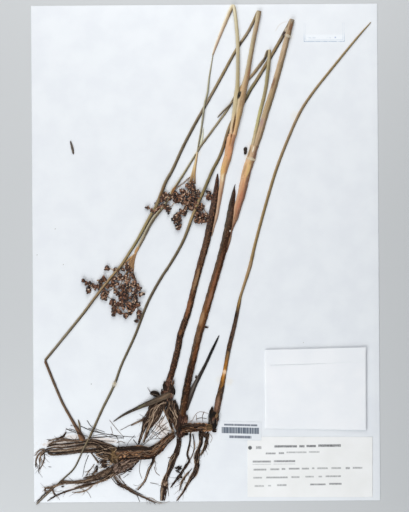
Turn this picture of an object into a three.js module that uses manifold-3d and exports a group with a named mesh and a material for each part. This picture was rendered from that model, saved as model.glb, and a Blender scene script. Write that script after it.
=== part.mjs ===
// Pressed rush herbarium specimen: a dried, folded rush and its papers, fixed on a white mounting sheet.
// Millimetres. The origin is the centre of the sheet's underside, +Y runs up the sheet, +Z out of its face.
import * as THREE from 'three';
import { mergeVertices } from 'three/addons/utils/BufferGeometryUtils.js';
import Module from 'manifold-3d';

const wasm = await Module();
wasm.setup();

// Driving dimensions
const SHEET = { width: 292.1, length: 419.1, thick: 0.5 };
const PAPER_THICK = 0.3;
const GAP = 0.3;            // between a piece and what it lies on or meets
const OVER = 1.8;           // height at which a stem crosses over another one
const ROOM_ABOVE = 6;       // how far a slot is open above the stem that lies in it

// A pressed stem is this thick: a skin that stays, and a share of its width
const SKIN = 0.5;
const PRESS = { stem: 0.22, root: 0.4, crown: 0.36, rhizome: 0.46 };

const HEAD = { radius: 2.05, spread: 0.35, height: 1.25, turn: 2.4 };
const TWIG = 0.9;
const KNOT = 1.8;
const GLUE_DROPS = [
  { x: 70.4, y: 182.4, across: 7.4, along: 5, turn: -0.27, height: 4.4 },
  { x: 38.9, y: 79.4, across: 10.4, along: 5, turn: -0.25, height: 3.4 },
  { x: -77.5, y: -110, across: 5.4, along: 5.4, turn: -0.45, height: 2.6 },
];
const PACKET = { thick: 1.2, riseRight: 1.1, riseTop: 0.5, flap: 12.5, flapInset: 5, flapThick: 0.35 };

// Cross-sections, one wide and one high, to be stretched to a stem's width and thickness
const SECTION = {
  stem: [[-1, 0], [-0.6, -1], [0.6, -1], [1, 0], [0.6, 1], [-0.6, 1]],
  strand: [[-1, -0.2], [0, -1], [1, -0.2], [0.5, 1], [-0.5, 1]],
  twig: [[-1, 0], [0, -1], [1, 0], [0, 1]],
  slot: [[-1, -1], [1, -1], [1, 1], [-1, 1]],
};

// A stem swept along its route. Each row is [x, y, width, lift]: lift is the height of its underside over the
// sheet's face. It can be made larger all around, and higher still above, as the room that a stem takes up.
function stem(rows, { press = PRESS.stem, section = SECTION.stem, around = 0, above = 0 } = {}) {
  const route = new THREE.CatmullRomCurve3(
    rows.map(([x, y]) => new THREE.Vector3(x, y, 0)), false, 'centripetal');
  const outline = new THREE.Shape(section.map(([u, v]) => new THREE.Vector2(u, v)));
  const spans = rows.length - 1;
  const geometry = new THREE.ExtrudeGeometry(outline, { depth: 1, steps: spans, bevelEnabled: false });
  const place = geometry.attributes.position;
  for (let i = 0; i < place.count; i += 1) {
    const share = place.getZ(i);
    const centre = route.getPoint(share);
    const along = route.getTangent(share);
    const before = Math.min(Math.floor(share * spans), spans - 1);
    const between = share * spans - before;
    const [, , widthA, liftA = GAP] = rows[before];
    const [, , widthB, liftB = GAP] = rows[before + 1];
    const width = THREE.MathUtils.lerp(widthA, widthB, between);
    const lift = THREE.MathUtils.lerp(liftA, liftB, between);
    const reach = place.getX(i) * (width / 2 + around);
    const low = SHEET.thick + lift - around;
    const high = SHEET.thick + lift + SKIN + press * width + around + above;
    const height = THREE.MathUtils.lerp(low, high, (place.getY(i) + 1) / 2);
    place.setXYZ(i, centre.x - along.y * reach, centre.y + along.x * reach, height);
  }
  return geometry;
}

const root = (rows) => stem(rows, { press: PRESS.root, section: SECTION.strand });
const roomOf = (rows) => stem(rows, { around: GAP });
const slotOf = (rows) => stem(rows, { section: SECTION.slot, around: GAP, above: ROOM_ABOVE });

// Joining and cutting
function solid(geometry) {
  const bare = geometry.clone();
  bare.deleteAttribute('normal');
  bare.deleteAttribute('uv');
  const merged = mergeVertices(bare, 1e-4);
  return new wasm.Manifold(new wasm.Mesh({
    numProp: 3,
    vertProperties: new Float32Array(merged.attributes.position.array),
    triVerts: new Uint32Array(merged.index.array),
  }));
}

function geometryOf(body) {
  const mesh = body.getMesh();
  const geometry = new THREE.BufferGeometry();
  geometry.setAttribute('position', new THREE.BufferAttribute(mesh.vertProperties, mesh.numProp));
  geometry.setIndex(new THREE.BufferAttribute(mesh.triVerts, 1));
  return geometry;
}

const joined = (geometries) => geometries.map(solid).reduce((all, next) => all.add(next));
const fuse = (...geometries) => geometryOf(joined(geometries));
const larger = (a, b) => (a.volume() > b.volume() ? a : b);

// A cut can leave a loose crumb beside the body, so only the body is kept
function cut(body, ...tools) {
  const left = tools.map(solid).reduce((rest, tool) => rest.subtract(tool), body);
  return left.decompose().reduce(larger);
}

// A lump lying on the sheet's face, such as a head of capsules
function lump(x, y, radius, height, turn = 0) {
  const geometry = new THREE.SphereGeometry(1, 6, 2);
  geometry.rotateX(Math.PI / 2);
  geometry.scale(radius, radius, height);
  geometry.rotateZ(turn);
  geometry.translate(x, y, SHEET.thick + GAP + height);
  return geometry;
}

// Papers
function sheet() {
  const geometry = new THREE.BoxGeometry(SHEET.width, SHEET.length, SHEET.thick);
  return geometry.translate(0, 0, SHEET.thick / 2);
}

function paper(corners, thick = PAPER_THICK, lift = GAP) {
  const outline = new THREE.Shape(corners.map(([x, y]) => new THREE.Vector2(x, y)));
  const geometry = new THREE.ExtrudeGeometry(outline, { depth: thick, bevelEnabled: false });
  return geometry.translate(0, 0, SHEET.thick + lift);
}

// The folded packet: its right and top edges stand up a little, and its flap is folded over the front
function packet() {
  const left = 49.2;
  const right = 134.8;
  const bottom = -148.5;
  const top = -82;
  const skew = 1.7;
  const body = [[left, bottom], [right, bottom - skew], [right, top + skew], [left, top]];
  const flap = [
    [left + PACKET.flapInset, top - PACKET.flap], [right - 2 * PACKET.flapInset, top + skew - PACKET.flap],
    [right, top + skew], [left, top],
  ];
  const spring = (geometry) => {
    const place = geometry.attributes.position;
    for (let i = 0; i < place.count; i += 1) {
      const across = (place.getX(i) - left) / (right - left);
      const up = (place.getY(i) - bottom) / (top - bottom);
      place.setZ(i, place.getZ(i) + PACKET.riseRight * across + PACKET.riseTop * up);
    }
    return geometry;
  };
  return fuse(
    spring(paper(body, PACKET.thick)),
    spring(paper(flap, PACKET.thick + PACKET.flapThick)),
  );
}

const label = () => paper([[34, -206], [139.5, -206.8], [139.8, -156], [34.3, -155.2]]);
const barcodeSlip = () => paper([[10.4, -154.2], [46, -154.8], [46.2, -143], [10.6, -142.4]]);

// A drop of glue over stems: a low dome on the sheet that leaves each of them its room
function glueDrop({ x, y, across, along, turn, height }, ...stems) {
  const dome = new THREE.SphereGeometry(1, 12, 6);
  dome.scale(across / 2, along / 2, height);
  dome.rotateZ(turn);
  dome.translate(x, y, SHEET.thick + GAP);
  const above = new THREE.BoxGeometry(2 * across, 2 * across, 2 * height);
  above.translate(x, y, SHEET.thick + GAP + height);
  return geometryOf(cut(solid(dome).intersect(solid(above)), ...stems.map(roomOf)));
}

// Left shoot
const sheathARows = [
  [-30.3, -104, 5.4], [-29, -100, 5.2], [-26.3, -90, 5.4], [-23.8, -80, 5.3], [-22, -70, 5.4],
  [-18.7, -60, 5.4], [-15.1, -50, 5.2], [-10, -30, 5.1], [-4.7, -10, 5.5], [1, 10, 5.8], [4, 25, 5.8],
  [7, 40, 5.6], [8.7, 50, 4.6], [10, 60, 3.2], [10.5, 67, 0.8],
];
const culmARows = [
  [7.4, 20, 0.6], [9.7, 30, 1.8], [12, 40, 2.6], [13.6, 50, 3.2], [14.7, 60, 3.9], [15.2, 64, 4.4],
  [17, 70, 6.3], [20.2, 80, 7.5], [22.3, 90, 7.8, 1.2], [23.9, 98.6, 7.6, OVER],
];
const leafARows = [
  [21.6, 99.8, 2.4, OVER], [23.4, 110, 2.8, OVER], [24.7, 119, 3, OVER], [26.3, 130, 3.3, OVER],
  [27.6, 140, 3.1, OVER], [28.2, 160, 3, OVER], [28, 180, 3, OVER], [26.8, 195, 2.8, OVER],
  [25.6, 205, 2.8, OVER], [24.8, 209.4, 2.2, OVER],
];
const leafAFoldRows = [
  [23.6, 207, 2.2], [18.9, 196, 2], [14.2, 185, 1.9], [9.9, 175, 1.7], [6.8, 166.4, 1],
];
const stemAUpperRows = [
  [25.9, 99.6, 4.4, OVER], [28.2, 110, 4.7, OVER], [30.1, 119, 5.1, OVER], [32, 130, 5.2, OVER],
  [33.6, 140, 5, OVER], [36, 150, 4.4, OVER], [37.8, 160, 3.9, OVER], [41.6, 180, 3.7, OVER],
  [43.8, 190, 3.7, OVER], [46.4, 203.8, 4.2, OVER],
];
const stemAReturnRows = [
  [45, 202.4, 2.6], [41.6, 195, 2.6], [36.2, 185, 2.6], [30, 176, 2.6], [25, 168, 2.6], [15, 150, 2.6],
  [3.8, 130, 2.6], [-7.7, 110, 2.6], [-18.3, 90, 2.6], [-27.7, 70, 2.7], [-33.3, 60, 2.8, 1.4],
  [-36.9, 50, 2.9, OVER], [-41.1, 40, 2.9, OVER], [-47.1, 30, 2.9, OVER], [-58.2, 10, 2.6, 1],
  [-64.7, 0, 2.5, 1.4], [-71.3, -10, 2.5, OVER], [-79.8, -20, 2.4, OVER], [-88, -30, 2.4, OVER],
  [-95.7, -40, 2.4, 1.4], [-103.3, -50, 2.4], [-135.4, -89, 2.2],
];
const stemAEndRows = [
  [-135.6, -91, 2.2], [-128.5, -109, 2.2], [-121.3, -126, 2.2], [-113.7, -140, 2.4], [-107.9, -151, 3],
  [-106, -154.6, 3.6],
];

// Right shoot
const sheathBRows = [
  [-20.4, -134.5, 5.6, 2.2], [-18, -120, 6, 2.2], [-16, -110, 6, 2], [-13.8, -100, 6, 1], [-11.3, -90, 6],
  [-6.5, -70, 6.2], [-0.7, -50, 6.4], [5.2, -30, 6.4], [11.2, -10, 6.4], [16.5, 10, 6.4], [20.6, 30, 6],
  [22.1, 40, 5], [23.9, 50, 3.2], [24.5, 55.5, 0.8],
];
const culmBRows = [
  [22.6, 20, 0.6], [26, 30, 3.4], [28.2, 40, 5], [30.2, 47, 6], [33, 60, 7.2], [36.1, 70, 7.4],
  [39.1, 80, 7.5], [41.1, 89, 7.2],
];
const leafBRows = [
  [40.1, 90.4, 2.6], [42.3, 100, 2.8], [44.6, 110, 2.8], [47, 120, 3], [49.7, 130, 3], [51.8, 140, 3, 0.6],
  [53.1, 150, 3, OVER], [54.3, 160, 3, OVER], [55, 171, 2.6, OVER],
];
const leafBReturnRows = [
  [52.4, 167.6, 2.4], [50.9, 163.6, 2.6], [48.2, 160, 2.8], [44.4, 155, 2.8], [40.8, 150.4, 2.6],
  [36, 145.4, 2.5], [30.6, 139.4, 2.4], [24, 129, 2.2], [18.9, 120.4, 2], [11.2, 110, 2], [3.8, 100, 2],
  [-3.7, 90, 2], [-5.2, 87.3, 2.2],
];
const stemBUpperRows = [
  [44.2, 90.2, 4.4], [46.6, 100, 4.9], [49.2, 110, 5.2], [52.1, 120, 5.3], [55.4, 130, 5.3],
  [58.6, 140, 5.1], [61.5, 150, 5], [67, 170, 4.7, 1], [69.6, 180, 4.5, OVER], [74.2, 196.6, 4.2, OVER],
];
const stemBReturnRows = [
  [72.6, 194.6, 2.8], [67.5, 185, 3], [61.8, 175, 3], [51, 157, 3], [43.6, 145, 3], [39, 138, 2.9],
  [34.8, 130, 2.8], [21.6, 108, 2.8], [18.7, 100, 2.8], [15.8, 90, 2.9], [11.8, 80, 2.8],
  [6.4, 70, 2.8, 1], [2, 60, 2.8, OVER], [-2.4, 50, 2.8, OVER], [-7.1, 40, 2.8, OVER],
  [-11.2, 30, 2.8, OVER], [-19, 10, 2.5], [-30.5, -10, 2.4], [-37.2, -20, 2.4], [-48.4, -40, 2.4],
  [-60.4, -70, 2.2], [-72, -95, 2.1], [-77.5, -110, 2.2], [-88.4, -132, 2.2], [-98, -153.3, 2.1],
  [-105.2, -166.7, 2.1], [-112.7, -181, 2.1], [-121.2, -189.6, 2.1], [-134.5, -202, 1.8],
  [-144.2, -211.4, 1.4],
];
const looseTipRows = [
  [21.2, 124.9, 1.5, OVER], [17.2, 121, 1.5, OVER], [13.5, 117.3, 1.3, 1], [10.6, 114.2, 0.8],
];
const bractRows = [
  [7.2, 164.6, 0.8], [4, 148, 1.3], [2.2, 134, 1.3, OVER], [0, 126, 1.3, OVER], [-1.2, 117, 1.3, OVER],
  [-2.6, 107, 1.3], [-3.6, 100.7, 1.3], [-5.3, 92.2, 1.2],
];
const lowerCulmRows = [
  [-9.8, 80.1, 1.9], [-13, 75, 2], [-19.3, 65, 2.1, 1], [-25.2, 56, 2.4, OVER], [-27.2, 53, 3, OVER],
  [-31.5, 45, 2.2, OVER], [-36.2, 38, 2.1, OVER], [-42.6, 30, 2.1, 1.4], [-45.8, 25, 2.1, 1],
  [-53.7, 10, 2.1], [-58.4, 1.4, 2.1],
];

// Long single leaf, right
const sheathCRows = [
  [8, -133.6, 4.2], [9.2, -125, 4.2], [12, -115, 4], [15.2, -100, 3.8], [19.2, -80, 3.8], [24.2, -60, 3.4],
  [28.2, -41, 2.8], [29, -37.4, 2.4],
];
const leafCRows = [
  [29.3, -36.2, 2.3], [32, -28, 2.4], [37.4, -11, 3], [41.2, 5, 2.6], [50.8, 40, 2.5], [60, 70, 2.5],
  [70.8, 97.5, 2.4], [80.8, 119, 2.4], [90, 133, 2.2], [110, 158, 2], [130, 182, 1.6], [140.8, 194, 0.8],
];

// Small leaves and loose bits
const basalLeftRows = [
  [-40.5, -121.4, 3.6, 2.6], [-46, -124.5, 4.6, 2.8], [-52, -127.3, 4, 1.4], [-60, -131, 2.6],
  [-70, -136, 1.8], [-79, -141.8, 0.6],
];
const basalRightRows = [
  [-17.8, -133, 3.6], [-16.1, -127, 4.2], [-13.6, -120, 4.6], [-10.3, -112, 4], [-5.2, -102.5, 3],
  [0, -92.5, 2.5], [4.9, -82, 2.3], [9, -73.6, 1.6], [11, -69.4, 0.7],
];
const shootRows = [
  [-106.9, -147.6, 1.2], [-107.4, -144, 1.8], [-108.6, -139.7, 0.6],
];
const sliverRows = [[-110.9, 84, 1.4], [-111.7, 88.5, 2.1], [-113.5, 95.4, 1.2]];
const fragmentRows = [[33.4, 82.8, 1.6], [34.7, 85.2, 2.3], [34.5, 87, 1.5], [35.3, 89.4, 1]];

// Heads of capsules: each spray is a twig from the stalk through its heads, whose first point carries none
const LOWER_SPRAYS = [
  [[-59.4, -0.7], [-64.7, -4.7], [-75, -17], [-83.3, -11.5]],
  [[-69, -10], [-78, -21], [-87.5, -21], [-90.5, -26.5], [-97, -26], [-103.5, -22.5]],
  [[-78, -21], [-86, -25], [-89, -30], [-93.5, -28], [-98.8, -31]],
  [[-64.7, -4.7], [-72, -21], [-78, -26], [-84, -30.5], [-86, -36.5]],
  [[-59.4, -0.7], [-65, -17], [-70, -27], [-72, -33], [-74, -38], [-79, -40]],
  [[-64, -14], [-66, -26], [-66, -36], [-70, -38.5], [-75, -43.5], [-77.5, -50]],
  [[-59.4, -0.7], [-62, -16], [-62, -27], [-60.5, -33], [-63, -38.5], [-66, -44], [-68, -51.5], [-73, -49.5]],
  [[-61.5, -20], [-58, -28], [-58, -40.5], [-62, -46], [-57.6, -51.5], [-59.3, -56.8]],
  [[-58, -33], [-53.5, -34]],
];
const UPPER_STALK = [[-6.8, 84.5, 2.2], [-7.3, 80, 2.3], [-9.3, 70, 3.6], [-11, 62.5, 4.6]];
const UPPER_SPRAYS = [
  [[-11, 63], [-14, 55], [-17.5, 48], [-21, 46], [-24, 50.5], [-29, 50.3], [-34, 48], [-38.8, 48.6]],
  [[-11, 63], [-15.3, 57.6], [-19, 53]],
  [[-21, 46], [-24, 42], [-31, 37], [-34, 39.8], [-39, 42.2], [-41.5, 37], [-45.5, 34.6], [-48.4, 38]],
  [[-14, 48], [-17.5, 42.5], [-20, 35], [-24.5, 31.5], [-26.5, 27.5], [-23, 26.5], [-23.2, 21.5]],
  [[-14, 55], [-14, 48.5], [-14, 42.5], [-13.5, 38], [-9.5, 34.5], [-6, 31.5], [-7.3, 27]],
  [[-11, 63], [-9, 57], [-9.5, 51.5], [-9, 46.5], [-8, 41.5], [-5, 37.5], [-3, 31], [-0.5, 27.2]],
  [[-9, 57], [-6, 52.5], [-4.5, 44], [-2.5, 39.5], [0.6, 33]],
  [[-6, 52.5], [0, 49.4], [4, 48.4]],
];

function sprayParts(sprays) {
  const parts = [];
  sprays.forEach((points, nth) => {
    const first = nth === 0 ? 2 : 1;
    parts.push(stem(points.map(([x, y]) => [x, y, TWIG]), { section: SECTION.twig }));
    points.slice(first).forEach(([x, y], k) => {
      const radius = HEAD.radius + HEAD.spread * Math.sin(HEAD.turn * (nth + 3 * k));
      parts.push(lump(x, y, radius, HEAD.height, HEAD.turn * k));
    });
  });
  return parts;
}

function upperHeads() {
  const whole = joined([
    lump(UPPER_STALK[0][0], UPPER_STALK[0][1], KNOT, KNOT / 2),
    stem(UPPER_STALK),
    ...sprayParts(UPPER_SPRAYS),
  ]);
  return geometryOf(cut(whole, slotOf(stemBReturnRows), slotOf(stemAReturnRows), slotOf(lowerCulmRows)));
}

function lowerHeads() {
  return geometryOf(cut(joined(sprayParts(LOWER_SPRAYS)), slotOf(stemAReturnRows)));
}

// Rootstock
const crownPart = (rows) => stem(rows, { press: PRESS.crown });
const rhizomePart = (rows) => stem(rows, { press: PRESS.rhizome });

function crownA() {
  return fuse(
    crownPart([[-30.7, -105.6, 6], [-32, -110, 8], [-33, -116, 10], [-32.4, -122, 9]]),
    crownPart([[-35, -115, 3], [-36.4, -110, 2.4], [-36.9, -106.4, 0.8]]),
    crownPart([[-29.5, -119, 3], [-27.8, -115.5, 2.4], [-26.6, -111.5, 0.8]]),
    crownPart([[-34, -115.5, 3], [-41, -116.4, 3], [-46, -117.6, 2.6], [-48.5, -115.8, 1]]),
    crownPart([[-36, -117, 2.4], [-42.5, -119, 2.2], [-45.5, -120.6, 1]]),
  );
}

function crownB() {
  return fuse(
    crownPart([[-20.7, -136, 6.6], [-22.5, -145, 8.6], [-23.8, -153.2, 7]]),
    crownPart([[-18, -142, 2.4], [-16.6, -138.5, 1.8], [-15.6, -135, 0.8]]),
  );
}

function crownC() {
  return fuse(
    crownPart([[5, -142.7, 8], [6.5, -138.4, 6.4], [7.8, -134.9, 4.6]]),
    crownPart([[2.6, -141, 2.6], [2.8, -134, 2], [3.9, -129.4, 0.8]]),
  );
}

function rhizomeLeft() {
  return fuse(
    rhizomePart([
      [-30.6, -157.2, 7], [-37, -161.5, 7.4], [-43, -166, 7.6], [-50, -167.6, 7.6], [-60, -168, 7.8],
      [-70, -169, 8], [-77.5, -170, 9],
    ]),
    lump(-77.6, -170, 5.4, 2.6, HEAD.turn),
    rhizomePart([[-60, -172, 4], [-66, -176, 6], [-73, -178.5, 7], [-79, -180, 5]]),
  );
}

const rhizomeRight = () => rhizomePart([
  [-17.6, -147.4, 7.4], [-10, -146.8, 7.8], [-2, -147.1, 7.4], [7.5, -147.5, 6.8],
]);

function rootFanA() {
  const strands = [
    [
      [-33.8, -125.2, 3.6], [-41, -127.2, 4.4], [-45.8, -131, 6], [-48.2, -137, 5.6], [-51, -142, 4.6],
      [-54, -148, 3], [-56.6, -154, 1.8], [-58, -161, 1],
    ],
    [
      [-36, -125, 4], [-41.4, -129, 4.6], [-43.4, -134, 5], [-45.6, -139.4, 4.6], [-48.6, -145.6, 3.2],
      [-51.4, -152, 2], [-54.6, -162, 1],
    ],
    [[-32.8, -124.4, 4.4], [-32.2, -130, 4.6], [-30.6, -137, 4.6], [-29.6, -143, 3.8], [-29.4, -150, 1.8]],
    [[-29.4, -124.4, 4], [-28, -129.4, 4], [-27.4, -134, 2.4]],
    [[-48.6, -137.6, 2.4], [-53, -140, 1.6], [-57, -141.6, 1.2], [-64, -145, 0.8]],
  ];
  return fuse(...strands.map(root));
}

function rootsUpperLeft() {
  const strands = [
    [
      [-84, -164, 5], [-92, -163, 6, 1], [-100, -161.4, 6.4, OVER], [-115, -162.4, 6, OVER],
      [-128, -163, 5], [-135, -164, 4], [-139.6, -166.6, 3], [-142.4, -171.4, 2.4], [-142.8, -176, 1.8],
      [-141.6, -181, 1],
    ],
    [
      [-84, -167.5, 4], [-92, -166, 5, 1], [-100, -163.8, 5, OVER], [-113, -166, 3.6, OVER],
      [-122, -167.6, 2.8], [-130, -168, 2], [-135.6, -167.4, 1],
    ],
    [
      [-83.6, -162, 3], [-92, -159.5, 4, 1], [-100, -158.4, 4, OVER], [-110, -159.4, 3, OVER],
      [-120, -159, 2.8], [-129, -159.6, 2.8], [-135, -162.4, 2],
    ],
    [
      [-104, -158.4, 2, OVER], [-112, -158.2, 1.6, 1.2], [-120, -157.4, 1.6], [-127, -156.6, 1.8],
      [-133.6, -157.8, 1.2],
    ],
    [[-126, -156.8, 1.4], [-121.4, -153.8, 1.4], [-118.6, -150.4, 1]],
    [[-137, -164.4, 2], [-141.4, -165.6, 1.6], [-145, -169.4, 1]],
  ];
  return fuse(...strands.map(root));
}

function rootsLowerLeft() {
  const strands = [
    [
      [-82.4, -182, 4], [-88, -186.8, 3.8], [-96, -190.4, 3.2], [-106, -191.6, 2.8],
      [-114, -192, 2.6, 1.4], [-121, -192.2, 2.4, OVER], [-125, -191.6, 1.2, OVER],
    ],
    [
      [-82.2, -183.6, 3.4], [-88, -190, 3.4], [-95, -193.2, 3], [-103, -194.6, 2.6], [-110, -196.6, 2.2],
      [-118, -199.6, 1.8], [-126, -203, 1.6], [-136.5, -208.9, 0.9],
    ],
    [[-83, -181.4, 2.6], [-92, -186.2, 2.2], [-100, -188.2, 1.8], [-106, -189.4, 1]],
    [
      [-119.4, -192.8, 1.6, OVER], [-125, -194.8, 1.8, OVER], [-131, -196.6, 1.8, 1.6],
      [-135, -199.4, 1.2], [-139, -203.4, 0.8],
    ],
  ];
  return fuse(...strands.map(root));
}

// Single roots, from left to right along the bottom
const ROOTS = [
  [
    [-78.6, -186.6, 2], [-75, -193, 2], [-68, -198, 1.9], [-60, -202.5, 1.8], [-51, -207, 1.6],
    [-43, -211, 1],
  ],
  [
    [-45.4, -171.8, 2], [-47, -178, 1.8], [-50.4, -184, 1.6], [-52, -190, 1.4], [-56, -195.5, 1.2],
    [-59.6, -199.6, 0.8],
  ],
  [
    [-24.6, -154.8, 4], [-25.5, -162, 4], [-28, -171, 3.8], [-31, -178, 3.8], [-33.5, -185, 3.6],
    [-36, -190, 4], [-37, -197, 5], [-38, -204, 3.4], [-38.2, -208.6, 1.4],
  ],
  [
    [-13.4, -152.2, 1.4], [-12.8, -160, 1.4], [-13, -168, 1.6], [-15, -174, 2], [-19.5, -179.4, 2.2],
    [-21, -184, 2], [-25, -189.4, 1.8], [-28.4, -193.6, 1.4], [-31.6, -197.4, 0.8],
  ],
  [
    [-6.2, -151.8, 4.6], [-7, -158, 4.4], [-8.6, -167, 3.8], [-10.2, -174, 3.6], [-12.4, -182, 3.6],
    [-14.4, -190, 2.4], [-17, -196, 1.4], [-20, -200, 1.2], [-27, -209.2, 0.7],
  ],
  [[-15.2, -184.6, 1], [-18.4, -188.4, 1.2], [-21.4, -193, 1.2], [-23, -200, 0.7]],
  [[1.6, -151.8, 2.6], [0, -158, 2.6], [-3, -164, 2.4], [-5, -168.6, 1.2]],
];

// Finishes
const finish = (color, roughness = 0.85) => (
  new THREE.MeshStandardMaterial({ color, roughness, metalness: 0 })
);
const WHITE_PAPER = finish('#eef1f4', 0.95);
const WARM_PAPER = finish('#e9e8e4', 0.95);
const GLUE = finish('#e8e2cf', 0.35);
const DARK_SHEATH = finish('#33211a', 0.6);
const GOLDEN_CULM = finish('#b98a58', 0.6);
const PALE_LEAF = finish('#a89c78', 0.65);
const BROWN_STEM = finish('#5d4c3a', 0.65);
const ROSY_STEM = finish('#a88c72', 0.65);
const OLIVE_LEAF = finish('#83764f', 0.65);
const CAPSULE = finish('#54301f', 0.7);
const ROOT_BROWN = finish('#4d3622', 0.9);
const RHIZOME_BROWN = finish('#6b4525', 0.85);

const specimen = new THREE.Group();
function add(name, geometry, material) {
  const mesh = new THREE.Mesh(geometry, material);
  mesh.name = name;
  specimen.add(mesh);
}

add('mounting_sheet', sheet(), WHITE_PAPER);
add('specimen_label', label(), WARM_PAPER);
add('fragment_packet', packet(), WHITE_PAPER);
add('barcode_slip', barcodeSlip(), WHITE_PAPER);
add('glue_drop_1', glueDrop(GLUE_DROPS[0], stemBUpperRows, stemBReturnRows), GLUE);
add('glue_drop_2', glueDrop(GLUE_DROPS[1], culmBRows), GLUE);
add('glue_drop_3', glueDrop(GLUE_DROPS[2], stemBReturnRows), GLUE);

add('sheath_a', stem(sheathARows), DARK_SHEATH);
add('culm_a', stem(culmARows), GOLDEN_CULM);
add('leaf_a', stem(leafARows), PALE_LEAF);
add('leaf_a_fold_back', stem(leafAFoldRows), ROSY_STEM);
add('stem_a_upper', stem(stemAUpperRows), GOLDEN_CULM);
add('stem_a_return', stem(stemAReturnRows), BROWN_STEM);
add('stem_a_end', stem(stemAEndRows), BROWN_STEM);

add('sheath_b', stem(sheathBRows), DARK_SHEATH);
add('culm_b', stem(culmBRows), GOLDEN_CULM);
add('leaf_b', stem(leafBRows), OLIVE_LEAF);
add('leaf_b_return', stem(leafBReturnRows), OLIVE_LEAF);
add('leaf_tip_loose', stem(looseTipRows), BROWN_STEM);
add('stem_b_upper', stem(stemBUpperRows), ROSY_STEM);
add('stem_b_return', stem(stemBReturnRows), BROWN_STEM);
add('bract_thin', stem(bractRows), OLIVE_LEAF);
add('culm_lower_head', stem(lowerCulmRows), OLIVE_LEAF);
add('inflorescence_upper', upperHeads(), CAPSULE);
add('inflorescence_lower', lowerHeads(), CAPSULE);

add('sheath_c', stem(sheathCRows), BROWN_STEM);
add('leaf_c', stem(leafCRows), OLIVE_LEAF);
add('basal_leaf_left', stem(basalLeftRows), OLIVE_LEAF);
add('basal_leaf_right', stem(basalRightRows), DARK_SHEATH);
add('shoot_small', stem(shootRows), OLIVE_LEAF);
add('loose_sliver', stem(sliverRows), DARK_SHEATH);
add('loose_fragment', stem(fragmentRows), DARK_SHEATH);

add('crown_a', crownA(), DARK_SHEATH);
add('crown_b', crownB(), DARK_SHEATH);
add('crown_c', crownC(), DARK_SHEATH);
add('rhizome_left', rhizomeLeft(), RHIZOME_BROWN);
add('rhizome_right', rhizomeRight(), RHIZOME_BROWN);
add('root_fan_a', rootFanA(), ROOT_BROWN);
add('roots_upper_left', rootsUpperLeft(), ROOT_BROWN);
add('roots_lower_left', rootsLowerLeft(), ROOT_BROWN);
ROOTS.forEach((rows, nth) => add(`root_${nth + 1}`, root(rows), ROOT_BROWN));

export default specimen;
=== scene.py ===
"""The looks of a pressed, dried rush on its mounting sheet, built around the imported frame.

Rows and sizes are in millimetres on the sheet: +X right, +Y up the sheet, +Z out of its face.
"""

import math

import bpy
import numpy as np
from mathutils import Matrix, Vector


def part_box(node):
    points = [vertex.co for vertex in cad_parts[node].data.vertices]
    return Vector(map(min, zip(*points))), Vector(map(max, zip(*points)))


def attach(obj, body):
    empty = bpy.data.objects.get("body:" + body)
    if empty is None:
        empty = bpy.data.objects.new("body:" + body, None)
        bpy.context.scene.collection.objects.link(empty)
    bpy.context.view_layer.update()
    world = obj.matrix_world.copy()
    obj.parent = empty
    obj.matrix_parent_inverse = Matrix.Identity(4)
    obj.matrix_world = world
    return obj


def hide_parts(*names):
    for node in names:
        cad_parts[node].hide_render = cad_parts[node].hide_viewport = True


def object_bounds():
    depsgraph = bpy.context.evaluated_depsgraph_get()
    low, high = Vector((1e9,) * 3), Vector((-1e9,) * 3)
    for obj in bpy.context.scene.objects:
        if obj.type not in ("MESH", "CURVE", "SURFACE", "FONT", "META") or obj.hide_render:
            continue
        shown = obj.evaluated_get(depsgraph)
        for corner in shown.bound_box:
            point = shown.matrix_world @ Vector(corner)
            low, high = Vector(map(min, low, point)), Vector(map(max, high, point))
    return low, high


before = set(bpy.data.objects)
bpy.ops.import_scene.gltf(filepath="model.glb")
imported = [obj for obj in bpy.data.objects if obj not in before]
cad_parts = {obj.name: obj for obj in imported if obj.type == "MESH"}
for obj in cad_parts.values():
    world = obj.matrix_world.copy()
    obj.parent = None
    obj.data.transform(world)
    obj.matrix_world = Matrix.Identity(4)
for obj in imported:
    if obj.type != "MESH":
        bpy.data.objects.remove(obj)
cad_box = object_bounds()

MM = 0.001
TAU = 2 * math.pi
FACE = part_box("mounting_sheet")[1].z / MM      # height of the sheet's face
TOP = cad_box[1].z / MM                        # nothing stands higher than this
LEFT, LOW = (side / MM for side in cad_box[0][:2])
RIGHT, HIGH = (side / MM for side in cad_box[1][:2])
GAP = 0.3                                      # the frame's gap under a stem
REST = 0.05                                    # the gap that is left under a stem here
SETTLE = 0.87                                  # crossing stems lie this much closer than in the frame
OVER = 1.8                                     # height of a stem that crosses another, in the frame
SKIN = 0.5                                     # a pressed stem's thickness is this and a share of its width
PRESS = {"stem": 0.22, "root": 0.36, "crown": 0.34, "rhizome": 0.34}

# Where each group's random draws start
SEEDS = {"bract": 31, "paste": 40, "heads": 61, "crowns": 71, "rhizomes": 81, "hairs": 91, "specks": 95,
         "stems": 100, "roots": 200, "root_fan_a": 301, "roots_upper_left": 302, "roots_lower_left": 303}

# Colours of dried rush that several pieces share
TONES = {"soot": "#2a1a12", "bark": "#3a281d", "umber": "#553f30", "rust": "#704a33", "cream": "#d9ccaf",
         "rose": "#b49c87", "gold": "#c69c69", "amber": "#ab7b52", "peach": "#dcb08c"}


def linear(tone):
    """A tone's name, or a hex colour, as the linear numbers that a socket takes."""
    if not isinstance(tone, str):
        return tone
    text = TONES.get(tone, tone).lstrip("#")
    parts = [int(text[i:i + 2], 16) / 255 for i in (0, 2, 4)]
    return [p / 12.92 if p <= 0.04045 else ((p + 0.055) / 1.055) ** 2.4 for p in parts] + [1.0]


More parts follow.
